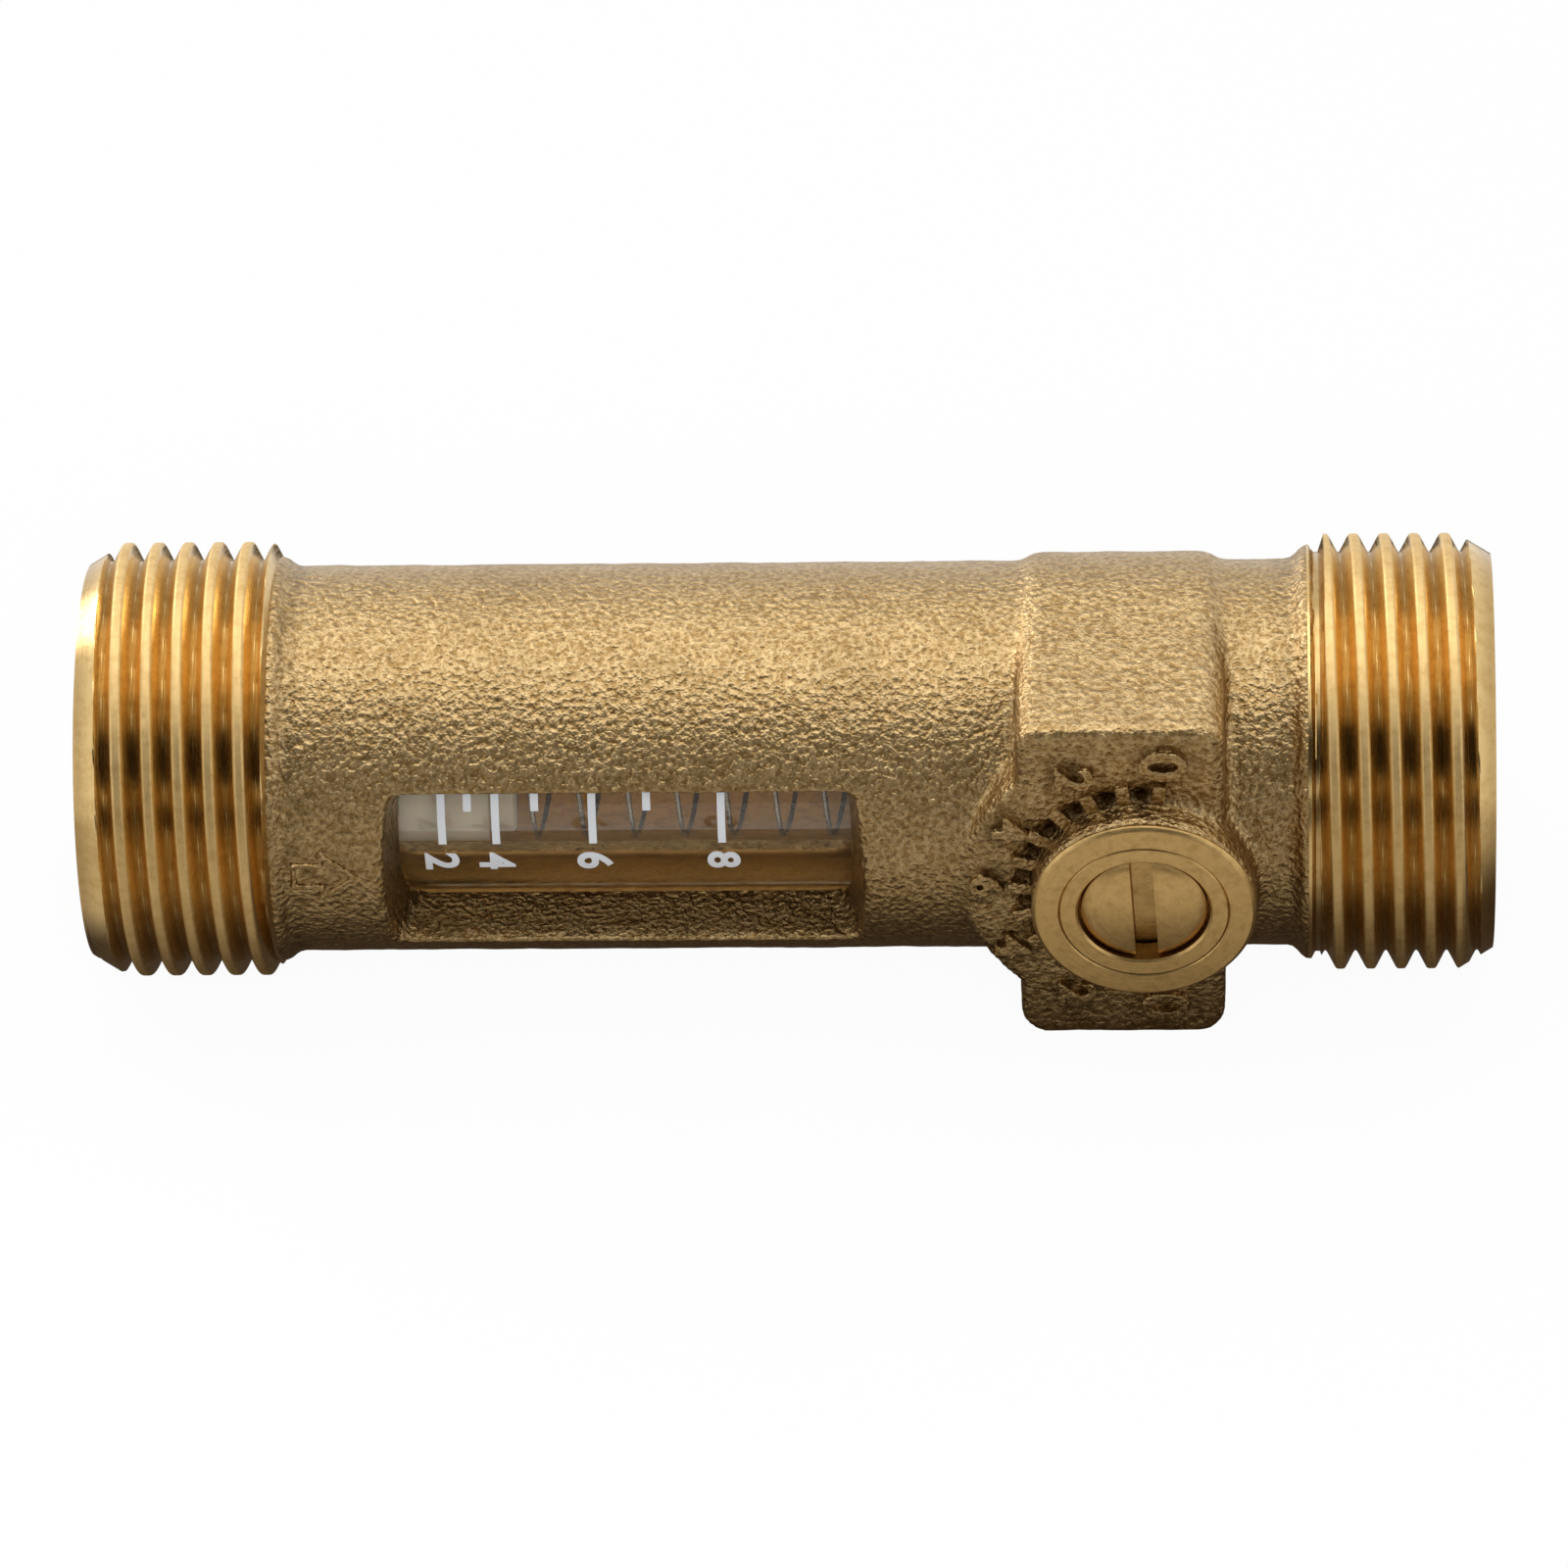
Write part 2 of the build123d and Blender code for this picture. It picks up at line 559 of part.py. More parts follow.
PARTS = {
    "valve_body": valve_body(),
    "sight_tube": sight_tube(),
    "tube_inlet_o_ring": tube_inlet_o_ring(),
    "tube_outlet_o_ring": tube_outlet_o_ring(),
    "tube_retaining_ring": tube_retaining_ring(),
    "inlet_cage": inlet_cage(),
    "metering_spindle": metering_spindle(),
    "float": float_body(),
    "flow_spring": flow_spring(),
    "spring_stop": spring_stop(),
    "ball": ball(),
    "stem": stem(),
    "stem_o_ring_lower": stem_o_ring(STEM_RING_LOWER_Y),
    "stem_o_ring_upper": stem_o_ring(STEM_RING_UPPER_Y),
    "thrust_washer": thrust_washer(),
    "gland_ring": gland_ring(),
    "inlet_seat": inlet_seat(),
    "outlet_seat": outlet_seat(),
    "inlet_seat_o_ring": seat_o_ring(-1),
    "outlet_seat_o_ring": seat_o_ring(1),
    "seat_retainer": seat_retainer(),
    "retainer_o_ring": retainer_o_ring(),
}

os.makedirs("parts", exist_ok=True)
for name, shape in PARTS.items():
    export_step(shape, f"parts/{name}.step")
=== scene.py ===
import logging
import math
import random
from dataclasses import dataclass
from enum import Enum
from typing import Sequence

import bmesh
import bpy
import numpy as np
from mathutils import Matrix, Vector, noise


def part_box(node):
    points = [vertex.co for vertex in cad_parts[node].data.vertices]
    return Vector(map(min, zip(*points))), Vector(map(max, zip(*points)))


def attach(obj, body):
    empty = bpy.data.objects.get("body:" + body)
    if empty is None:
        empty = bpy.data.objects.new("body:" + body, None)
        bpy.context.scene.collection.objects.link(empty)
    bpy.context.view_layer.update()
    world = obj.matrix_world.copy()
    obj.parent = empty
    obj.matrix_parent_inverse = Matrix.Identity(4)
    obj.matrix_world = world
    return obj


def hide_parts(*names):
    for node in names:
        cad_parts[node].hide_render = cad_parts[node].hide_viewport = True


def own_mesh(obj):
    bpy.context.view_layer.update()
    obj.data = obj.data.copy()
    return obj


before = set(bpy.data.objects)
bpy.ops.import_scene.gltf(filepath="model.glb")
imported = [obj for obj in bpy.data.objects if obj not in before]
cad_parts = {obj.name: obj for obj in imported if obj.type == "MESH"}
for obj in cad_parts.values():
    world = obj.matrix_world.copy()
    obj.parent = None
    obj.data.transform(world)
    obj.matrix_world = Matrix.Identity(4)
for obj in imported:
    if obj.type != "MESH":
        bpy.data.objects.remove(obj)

LOG = logging.getLogger("balancing_valve")
MM = 0.001
Point = tuple[float, float]


class Body(Enum):
    """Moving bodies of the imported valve."""

    VALVE = "valve"
    REGULATOR = "regulator"
    INDICATOR = "indicator"


class Slot(Enum):
    """Material slots of the record."""

    CAST_BRASS = "cast_brass"
    TURNED_BRASS = "turned_brass"
    CLEAR_POLYMER = "clear_polymer"
    SEAL_RUBBER = "seal_rubber"
    MOULDED_WHITE = "moulded_white"
    SPRING_STEEL = "spring_steel"
    FLOAT_POLYMER = "float_polymer"
    BRIGHT_BALL = "bright_ball"
    SEAT_PLASTIC = "seat_plastic"


class Axis(Enum):
    """Axes that pieces are turned about."""

    PIPE = "pipe"
    STEM = "stem"


def low_mm(node: str) -> Vector:
    """Lowest corner of a CAD node, in millimetres."""
    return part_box(node)[0] / MM


def high_mm(node: str) -> Vector:
    """Highest corner of a CAD node, in millimetres."""
    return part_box(node)[1] / MM


# The stem's axis runs along -Y through the middle of the ball.
STEM_X = (low_mm("gland_ring").x + high_mm("gland_ring").x) / 2


def linear(code: str) -> tuple[float, float, float, float]:
    """Turn an sRGB hex colour into linear RGBA.

    Args:
        code: Colour such as "#B89456".

    Returns:
        The colour as Blender's sockets take it.
    """
    parts = [int(code[i:i + 2], 16) / 255 for i in (1, 3, 5)]
    red, green, blue = (p / 12.92 if p <= 0.04045 else ((p + 0.055) / 1.055) ** 2.4 for p in parts)
    return red, green, blue, 1.0


def per_mm(size: float) -> float:
    """Texture scale at which one feature is this many millimetres wide."""
    return 1 / (size * MM)


def add_node(
    tree: bpy.types.NodeTree,
    kind: str,
    inputs: dict | None = None,
    stops: Sequence[tuple[float, str]] = (),
    **settings: object,
) -> bpy.types.Node:
    """Add one node with its settings, constants and links.

    Args:
        tree: Node tree of a material, the world or a geometry group.
        kind: The node's type.
        inputs: Socket name or number, with a constant or another node's output.
        stops: Places and hex colours of a colour ramp.
        **settings: The node's own properties.

    Returns:
        The new node.
    """
    node = tree.nodes.new(kind)
    for name, value in settings.items():
        setattr(node, name, value)
    for key, value in (inputs or {}).items():
        if isinstance(value, bpy.types.NodeSocket):
            tree.links.new(value, node.inputs[key])
        else:
            node.inputs[key].default_value = value
    for index, (place, code) in enumerate(stops):
        elements = node.color_ramp.elements
        element = elements[index] if index < len(elements) else elements.new(place)
        element.position = place
        element.color = linear(code)
    return node


def start_material(name: str) -> tuple[bpy.types.Material, bpy.types.NodeTree, bpy.types.Node]:
    """Begin a material with a principled shader on its output.

    Args:
        name: The finish's name.

    Returns:
        The material, its node tree and the shader.
    """
    material = bpy.data.materials.new(name)
    material.use_nodes = True
    tree = material.node_tree
    tree.nodes.clear()
    shader = add_node(tree, "ShaderNodeBsdfPrincipled")
    add_node(tree, "ShaderNodeOutputMaterial", {"Surface": shader.outputs["BSDF"]})
    return material, tree, shader


@dataclass(frozen=True)
class CastBrass:
    """Gravity-cast brass, shot-blasted: a coarse glinting grain, paler on its peaks and darker in its recesses,
    partly its own tone and partly painted highlight and painted shade.
    """

    peak: str = "#C4A879"
    recess: str = "#967748"
    # Colour of the painted shade and grime from the piece's attribute.
    shade_and_grime_colour: str = "#3B2812"
    grain_mm: float = 0.4
    pit_mm: float = 0.62
    patch_mm: float = 7.0
    grain_depth_mm: float = 0.22
    pit_depth_mm: float = 0.14
    roughness: float = 0.31

    def material(self) -> bpy.types.Material:
        """Build the finish, whose painted shade and grime come from the piece's own attribute."""
        material, tree, shader = start_material("cast_brass")
        place = add_node(tree, "ShaderNodeTexCoord").outputs["Object"]
        grain = add_node(
            tree, "ShaderNodeTexNoise",
            {"Vector": place, "Scale": per_mm(self.grain_mm), "Detail": 2.0, "Roughness": 0.55},
        ).outputs["Fac"]
        pits = add_node(
            tree, "ShaderNodeTexVoronoi",
            {"Vector": place, "Scale": per_mm(self.pit_mm), "Smoothness": 0.6},
            feature="SMOOTH_F1",
        ).outputs["Distance"]
        patches = add_node(
            tree, "ShaderNodeTexNoise", {"Vector": place, "Scale": per_mm(self.patch_mm), "Detail": 3.0}
        ).outputs["Fac"]
        height = add_node(
            tree, "ShaderNodeMapRange", {"Value": grain, "From Min": 0.36, "From Max": 0.62}
        ).outputs["Result"]
        # The grain's peaks are painted paler and its recesses darker: partly the metal's own tone, partly painted
        # highlight and painted shade.
        tone = add_node(
            tree, "ShaderNodeMix", {0: height, 6: linear(self.recess), 7: linear(self.peak)}, data_type="RGBA"
        ).outputs[2]
        stain = add_node(
            tree, "ShaderNodeMapRange",
            {"Value": patches, "From Min": 0.52, "From Max": 0.8, "To Min": 0.0, "To Max": 0.35},
        ).outputs["Result"]
        stained = add_node(
            tree, "ShaderNodeMix", {0: stain, 6: tone, 7: linear("#7E6540")}, data_type="RGBA"
        ).outputs[2]
        # Painted shade in corners and recesses, and darker patches, from the piece's attribute.
        shade_and_grime = add_node(tree, "ShaderNodeAttribute", attribute_name="shade_and_grime").outputs["Fac"]
        colour = add_node(
            tree, "ShaderNodeMix", {0: shade_and_grime, 6: stained, 7: linear(self.shade_and_grime_colour)}, data_type="RGBA"
        ).outputs[2]
        rough = add_node(
            tree, "ShaderNodeMapRange",
            {"Value": patches, "To Min": self.roughness - 0.06, "To Max": self.roughness + 0.08},
        ).outputs["Result"]
        fine = add_node(
            tree, "ShaderNodeBump", {"Height": grain, "Strength": 1.0, "Distance": self.grain_depth_mm * MM}
        ).outputs["Normal"]
        skin = add_node(
            tree, "ShaderNodeBump",
            {"Height": pits, "Normal": fine, "Strength": 0.8, "Distance": self.pit_depth_mm * MM},
        ).outputs["Normal"]
        tree.links.new(colour, shader.inputs["Base Color"])
        tree.links.new(rough, shader.inputs["Roughness"])
        tree.links.new(skin, shader.inputs["Normal"])
        shader.inputs["Metallic"].default_value = 1.0
        return material


@dataclass(frozen=True)
class TurnedBrass:
    """Brass fresh from the tool: satin bright, with fine marks the way the tool ran."""

    name: str = "turned_brass"
    axis: Axis = Axis.PIPE
    lengthwise: bool = False
    bright: str = "#E2B96C"
    dull: str = "#BE9350"
    mark_mm: float = 0.16
    mark_length_mm: float = 9.0
    mark_depth_mm: float = 0.012
    roughness: float = 0.2
    crest_mm: float = 16.62
    crest_roughness: float = 0.2
    # Colour and share of the painted shade at the root of a thread.
    root: str = "#6E4A1E"
    root_share: float = 0.0
    metallic: float = 1.0

    def material(self) -> bpy.types.Material:
        """Build the finish on coordinates that run along, out from and round the axis.

        Returns:
            The material.
        """
        material, tree, shader = start_material(self.name)
        place = add_node(tree, "ShaderNodeTexCoord").outputs["Object"]
        centre = (0, 0, 0) if self.axis is Axis.PIPE else (-STEM_X * MM, 0, 0)
        centred = add_node(
            tree, "ShaderNodeVectorMath", {0: place, 1: centre}, operation="ADD"
        ).outputs["Vector"]
        split = add_node(tree, "ShaderNodeSeparateXYZ", {"Vector": centred}).outputs
        along, first, second = (
            (split["X"], split["Y"], split["Z"]) if self.axis is Axis.PIPE else (split["Y"], split["X"], split["Z"])
        )
        flipped = add_node(tree, "ShaderNodeMath", {0: first, 1: -1.0}, operation="MULTIPLY").outputs[0]
        turn = add_node(tree, "ShaderNodeMath", {0: second, 1: flipped}, operation="ARCTAN2").outputs[0]
        # A mark is mark_mm wide and lasts for mark_length_mm, at 15 mm from the axis.
        squeeze = self.mark_mm / self.mark_length_mm
        shares = (squeeze, 15.0 * MM) if self.lengthwise else (1.0, 15.0 * MM * squeeze)
        length, girth = (
            add_node(tree, "ShaderNodeMath", {0: part, 1: share}, operation="MULTIPLY").outputs[0]
            for part, share in zip((along, turn), shares)
        )
        squares = [
            add_node(tree, "ShaderNodeMath", {0: part, 1: 2.0}, operation="POWER").outputs[0]
            for part in (first, second)
        ]
        total = add_node(tree, "ShaderNodeMath", {0: squares[0], 1: squares[1]}, operation="ADD").outputs[0]
        reach = add_node(tree, "ShaderNodeMath", {0: total}, operation="SQRT").outputs[0]
        lathe = add_node(tree, "ShaderNodeCombineXYZ", {0: length, 1: reach, 2: girth}).outputs[0]
        marks = add_node(
            tree, "ShaderNodeTexNoise",
            {"Vector": lathe, "Scale": per_mm(self.mark_mm), "Detail": 3.0, "Roughness": 0.65},
        ).outputs["Fac"]
        specks = add_node(
            tree, "ShaderNodeTexNoise", {"Vector": place, "Scale": per_mm(0.9), "Detail": 4.0, "Roughness": 0.7}
        ).outputs["Fac"]
        tarnish = add_node(
            tree, "ShaderNodeMapRange",
            {"Value": specks, "From Min": 0.45, "From Max": 0.75, "To Min": 0.0, "To Max": 0.7},
        ).outputs["Result"]
        metal = add_node(
            tree, "ShaderNodeMix", {0: tarnish, 6: linear(self.bright), 7: linear(self.dull)}, data_type="RGBA"
        ).outputs[2]
        # The root of a thread is painted darker brown, as painted shade, and its crest is scuffed.
        root_shade = add_node(
            tree, "ShaderNodeMapRange",
            {"Value": reach, "From Min": (self.crest_mm - 0.75) * MM, "From Max": (self.crest_mm - 1.35) * MM,
             "To Min": 0.0, "To Max": self.root_share},
        ).outputs["Result"]
        colour = add_node(
            tree, "ShaderNodeMix", {0: root_shade, 6: metal, 7: linear(self.root)}, data_type="RGBA"
        ).outputs[2]
        scuff = add_node(
            tree, "ShaderNodeMapRange",
            {"Value": reach, "From Min": (self.crest_mm - 0.3) * MM, "From Max": (self.crest_mm - 0.02) * MM,
             "To Min": 0.0, "To Max": self.crest_roughness - self.roughness},
        ).outputs["Result"]
        base = add_node(
            tree, "ShaderNodeMapRange",
            {"Value": marks, "From Min": 0.3, "From Max": 0.7, "To Min": self.roughness - 0.05,
             "To Max": self.roughness + 0.1},
        ).outputs["Result"]
        rough = add_node(tree, "ShaderNodeMath", {0: base, 1: scuff}, operation="ADD").outputs[0]
        grooves = add_node(
            tree, "ShaderNodeBump", {"Height": marks, "Strength": 0.7, "Distance": self.mark_depth_mm * MM}
        ).outputs["Normal"]
        tree.links.new(colour, shader.inputs["Base Color"])
        tree.links.new(rough, shader.inputs["Roughness"])
        tree.links.new(grooves, shader.inputs["Normal"])
        shader.inputs["Metallic"].default_value = self.metallic
        return material


@dataclass(frozen=True)
class ClearPolymer:
    """Moulded clear polysulphone-like tube: glossy, faintly warm, with weak flow lines along it."""

    tint: str = "#F3EEE4"
    ior: float = 1.49
    roughness: float = 0.02

    def material(self) -> bpy.types.Material:
        """Build the finish."""
        material, tree, shader = start_material("clear_polymer")
        place = add_node(tree, "ShaderNodeTexCoord").outputs["Object"]
        stretched = add_node(tree, "ShaderNodeMapping", {"Vector": place, "Scale": (0.06, 1, 1)}).outputs[0]
        lines = add_node(
            tree, "ShaderNodeTexNoise", {"Vector": stretched, "Scale": per_mm(0.9), "Detail": 1.0}
        ).outputs["Fac"]
        rough = add_node(
            tree, "ShaderNodeMapRange", {"Value": lines, "To Min": 0.0, "To Max": 2 * self.roughness}
        ).outputs["Result"]
        ripple = add_node(
            tree, "ShaderNodeBump", {"Height": lines, "Strength": 0.25, "Distance": 0.01 * MM}
        ).outputs["Normal"]
        tree.links.new(rough, shader.inputs["Roughness"])
        tree.links.new(ripple, shader.inputs["Normal"])
        shader.inputs["Base Color"].default_value = linear(self.tint)
        shader.inputs["Transmission Weight"].default_value = 1.0
        shader.inputs["IOR"].default_value = self.ior
        shadow = add_node(tree, "ShaderNodeLightPath").outputs["Is Shadow Ray"]
        passed = add_node(tree, "ShaderNodeBsdfTransparent", {"Color": linear(self.tint)})
        both = add_node(
            tree, "ShaderNodeMixShader", {0: shadow, 1: shader.outputs["BSDF"], 2: passed.outputs["BSDF"]}
        )
        tree.links.new(both.outputs[0], tree.nodes["Material Output"].inputs["Surface"])
        return material


@dataclass(frozen=True)
class Moulded:
    """A plain polymer or rubber surface with a fine skin and slight shade changes."""

    name: str
    light: str
    dark: str
    roughness: float
    grain_mm: float = 0.3
    depth_mm: float = 0.01
    transmission: float = 0.0
    subsurface: float = 0.0
    metallic: float = 0.0
    ior: float = 1.5

    def material(self) -> bpy.types.Material:
        """Build the finish."""
        material, tree, shader = start_material(self.name)
        place = add_node(tree, "ShaderNodeTexCoord").outputs["Object"]
        skin = add_node(
            tree, "ShaderNodeTexNoise", {"Vector": place, "Scale": per_mm(self.grain_mm), "Detail": 2.0}
        ).outputs["Fac"]
        shade = add_node(
            tree, "ShaderNodeTexNoise", {"Vector": place, "Scale": per_mm(3.0), "Detail": 3.0}
        ).outputs["Fac"]
        colour = add_node(
            tree, "ShaderNodeMix", {0: shade, 6: linear(self.dark), 7: linear(self.light)}, data_type="RGBA"
        ).outputs[2]
        rough = add_node(
            tree, "ShaderNodeMapRange",
            {"Value": skin, "To Min": self.roughness * 0.8, "To Max": self.roughness * 1.2},
        ).outputs["Result"]
        bump = add_node(
            tree, "ShaderNodeBump", {"Height": skin, "Strength": 0.5, "Distance": self.depth_mm * MM}
        ).outputs["Normal"]
        tree.links.new(colour, shader.inputs["Base Color"])
        tree.links.new(rough, shader.inputs["Roughness"])
        tree.links.new(bump, shader.inputs["Normal"])
        shader.inputs["Transmission Weight"].default_value = self.transmission
        shader.inputs["Subsurface Weight"].default_value = self.subsurface
        shader.inputs["Subsurface Scale"].default_value = 1.0 * MM
        shader.inputs["Metallic"].default_value = self.metallic
        if not self.metallic:
            shader.inputs["IOR"].default_value = self.ior
        return material


# Screen-printed ink, matt and nearly opaque.
SCALE_INK = Moulded("scale_ink", "#C9CBCE", "#B9BCC0", 0.55, depth_mm=0.004)
# Natural polypropylene float, milky with a satin skin.
FLOAT_SLEEVE = Moulded("float_polymer", "#BAB4A9", "#A9A296", 0.4, transmission=0.25, subsurface=0.5, ior=1.49)
# Black EPDM seals with a dull skin.
SEAL_RUBBER = Moulded("seal_rubber", "#1D1D1E", "#121213", 0.6, depth_mm=0.015, ior=1.52)
# White acetal mouldings, satin.
WHITE_MOULDING = Moulded("moulded_white", "#E9E7E1", "#DAD7CF", 0.38, ior=1.48)
# White PTFE ball seats, waxy and matt.
SEAT_PLASTIC = Moulded("seat_plastic", "#F0EFEA", "#E2E0DA", 0.5, ior=1.38)
# Drawn stainless spring wire.
SPRING_WIRE = Moulded("spring_steel", "#9A968F", "#6F6B66", 0.28, depth_mm=0.004, metallic=1.0)
# Turned and ground stainless spindle.
SPINDLE_STEEL = Moulded("spindle_steel", "#A9A6A0", "#8C8984", 0.25, depth_mm=0.003, metallic=1.0)
# Brass ball with hard chromium plate, polished.
CHROMED_BALL = Moulded("bright_ball", "#D5D8DA", "#C6C9CC", 0.08, depth_mm=0.001, metallic=1.0)


def mesh_object(name: str, points: np.ndarray, faces: Sequence[Sequence[int]]) -> bpy.types.Object:
    """Make a mesh object from points in millimetres.

    Args:
        name: The piece's name.
        points: One row of X, Y and Z for each vertex.
        faces: Vertex numbers of each face.

    Returns:
        The object, at the origin.
    """
    mesh = bpy.data.meshes.new(name)
    mesh.from_pydata((np.asarray(points) * MM).tolist(), [], [list(face) for face in faces])
    mesh.validate()
    piece = bpy.data.objects.new(name, mesh)
    bpy.context.scene.collection.objects.link(piece)
    return piece


def point_out(mesh: bpy.types.Mesh) -> None:
    """Turn a closed mesh's faces outwards."""
    shape = bmesh.new()
    shape.from_mesh(mesh)
    bmesh.ops.recalc_face_normals(shape, faces=shape.faces)
    shape.to_mesh(mesh)
    shape.free()


def shade(piece: bpy.types.Object, degrees: float = 30.0) -> bpy.types.Object:
    """Shade a piece smooth, but for its edges sharper than an angle."""
    piece.data.shade_smooth()
    piece.data.set_sharp_from_angle(angle=math.radians(degrees))
    return piece


def bake_modifiers(piece: bpy.types.Object) -> bpy.types.Object:
    """Turn a piece and its modifiers into a plain mesh, without the modifiers."""
    graph = bpy.context.evaluated_depsgraph_get()
    mesh = bpy.data.meshes.new_from_object(piece.evaluated_get(graph), depsgraph=graph)
    piece.modifiers.clear()
    piece.data = mesh
    mesh.name = piece.name
    return piece


def soften(piece: bpy.types.Object, voxel_mm: float, rounds: int) -> bpy.types.Object:
    """Fuse and round a piece as a casting is, by voxels and smoothing.

    Args:
        piece: A closed mesh.
        voxel_mm: Size of the voxels.
        rounds: How often the result is smoothed.

    Returns:
        The same object with its new mesh.
    """
    remesh = piece.modifiers.new("remesh", "REMESH")
    remesh.mode = "VOXEL"
    remesh.voxel_size = voxel_mm * MM
    smooth = piece.modifiers.new("smooth", "SMOOTH")
    smooth.factor = 0.5
    smooth.iterations = rounds
    return bake_modifiers(piece)


def turned_rings(rings: Sequence[np.ndarray], name: str) -> bpy.types.Object:
    """Join closed rings of points, each to the next and the last to the first.

    Args:
        rings: Arrays of points in millimetres, all with the same count.
        name: The piece's name.

    Returns:
        A closed solid.
    """
    count, size = len(rings), len(rings[0])
    faces = []
    for i in range(count):
        here, there = i * size, (i + 1) % count * size
        for k in range(size):
            after = (k + 1) % size
            faces.append((here + k, there + k, there + after, here + after))
    piece = mesh_object(name, np.vstack(rings), faces)
    point_out(piece.data)
    return piece


def lathe(name: str, profile: Sequence[Point], axis: Axis, segments: int = 192) -> bpy.types.Object:
    """Turn a closed profile about the pipe's or the stem's axis.

    Args:
        name: The piece's name.
        profile: Places along the axis and radii in millimetres; the stem's places are Y values.
        axis: What it turns about.
        segments: Facets round the axis.

    Returns:
        A closed solid with sharp corners kept.
    """
    turn = np.linspace(0, 2 * math.pi, segments, endpoint=False)
    rings = []
    for along, radius in profile:
        flat, up = radius * np.cos(turn), radius * np.sin(turn)
        level = np.full(segments, along)
        columns = (level, flat, up) if axis is Axis.PIPE else (STEM_X + flat, level, up)
        rings.append(np.column_stack(columns))
    return shade(turned_rings(rings, name))


def welded_copy(node: str, name: str) -> bpy.types.Object:
    """Copy a CAD node's mesh and merge its loose triangles.

    Args:
        node: The CAD node.
        name: The new piece's name.

    Returns:
        A new object; the node stays as it is.
    """
    shape = bmesh.new()
    shape.from_mesh(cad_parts[node].data)
    bmesh.ops.remove_doubles(shape, verts=shape.verts, dist=0.002 * MM)
    mesh = bpy.data.meshes.new(name)
    shape.to_mesh(mesh)
    shape.free()
    piece = bpy.data.objects.new(name, mesh)
    bpy.context.scene.collection.objects.link(piece)
    return piece


def hand_over(piece: bpy.types.Object, body: Body, slot: Slot, *nodes: str) -> bpy.types.Object:
    """Attach a finished piece to its body, and hide the CAD nodes it stands for.

    Args:
        piece: The finished piece.
        body: The body that carries it.
        slot: The record's slot for its finish; not used.
        *nodes: CAD nodes that it replaces.

    Returns:
        The piece.
    """
    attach(piece, body.value)
    if nodes:
        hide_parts(*nodes)
    LOG.info("%s: %d faces on %s", piece.name, len(piece.data.polygons), body.value)
    return piece


def dress(piece: bpy.types.Object, *materials: bpy.types.Material) -> bpy.types.Object:
    """Give a piece its materials, in slot order."""
    piece.data.materials.clear()
    for material in materials:
        piece.data.materials.append(material)
    return piece


class NodeShape:
    """A Geometry Nodes tree that makes one piece, with named sizes."""

    def __init__(self, name: str) -> None:
        """Start the tree.

        Args:
            name: Name of the tree and of the piece.
        """
        self.name = name
        self.tree = bpy.data.node_groups.new(name, "GeometryNodeTree")
        self.tree.interface.new_socket("Geometry", in_out="OUTPUT", socket_type="NodeSocketGeometry")
        self.source = None
        self.values: list[tuple[str, str, float]] = []

    def number(self, label: str, value: float, whole: bool = False) -> bpy.types.NodeSocket:
        """Add a named input.

        Args:
            label: The input's name.
            value: Its value in this piece.
            whole: True for a count.

        Returns:
            The socket that carries it.
        """
        kind = "NodeSocketInt" if whole else "NodeSocketFloat"
        entry = self.tree.interface.new_socket(label, in_out="INPUT", socket_type=kind)
        if self.source is None:
            self.source = self.tree.nodes.new("NodeGroupInput")
        self.values.append((entry.identifier, label, value))
        return self.source.outputs[label]

    def make(self, shape: bpy.types.NodeSocket, material: bpy.types.Material) -> bpy.types.Object:
        """Finish the tree and turn its result into a plain mesh.

        Args:
            shape: Geometry to hand out.
            material: Its finish.

        Returns:
            The piece, with no modifier left.
        """
        real = add_node(self.tree, "GeometryNodeRealizeInstances", {"Geometry": shape})
        finish = add_node(
            self.tree, "GeometryNodeSetMaterial", {"Geometry": real.outputs[0], "Material": material}
        )
        add_node(self.tree, "NodeGroupOutput", {"Geometry": finish.outputs[0]})
        piece = bpy.data.objects.new(self.name, bpy.data.meshes.new(self.name))
        bpy.context.scene.collection.objects.link(piece)
        modifier = piece.modifiers.new("shape", "NODES")
        modifier.node_group = self.tree
        for identifier, _, value in self.values:
            modifier[identifier] = value
        return bake_modifiers(piece)


def glyph(character: str, size: Point, bold_mm: float = 0.0) -> bmesh.types.BMesh:
    """Fill a numeral's outline, centred and stretched to its measured size.

    Args:
        character: The numeral.
        size: Its width and height in millimetres.
        bold_mm: How far its strokes are thickened.

    Returns:
        A flat mesh in millimetres, reading along +X with its top to +Y.
    """
    curve = bpy.data.curves.new(f"glyph_{character}", "FONT")
    curve.body = character
    curve.size = size[1] / 0.73
    curve.offset = bold_mm
    curve.resolution_u = 6
    curve.fill_mode = "FRONT"
    holder = bpy.data.objects.new(curve.name, curve)
    bpy.context.scene.collection.objects.link(holder)
    graph = bpy.context.evaluated_depsgraph_get()
    mesh = bpy.data.meshes.new_from_object(holder.evaluated_get(graph))
    bpy.data.objects.remove(holder)
    shape = bmesh.new()
    shape.from_mesh(mesh)
    bpy.data.meshes.remove(mesh)
    bmesh.ops.remove_doubles(shape, verts=shape.verts, dist=1e-4)
    spots = np.array([v.co for v in shape.verts])
    low, high = spots.min(0), spots.max(0)
    for vert in shape.verts:
        vert.co.x = (vert.co.x - (low[0] + high[0]) / 2) * size[0] / (high[0] - low[0])
        vert.co.y = (vert.co.y - (low[1] + high[1]) / 2) * size[1] / (high[1] - low[1])
        vert.co.z = 0
    return shape


def thicken(shape: bmesh.types.BMesh, depth: float) -> None:
    """Turn a flat shape into a closed slab from Z = 0 up to a depth."""
    made = bmesh.ops.extrude_face_region(shape, geom=list(shape.faces))["geom"]
    for vert in (item for item in made if isinstance(item, bmesh.types.BMVert)):
        vert.co.z += depth
    bmesh.ops.recalc_face_normals(shape, faces=shape.faces)


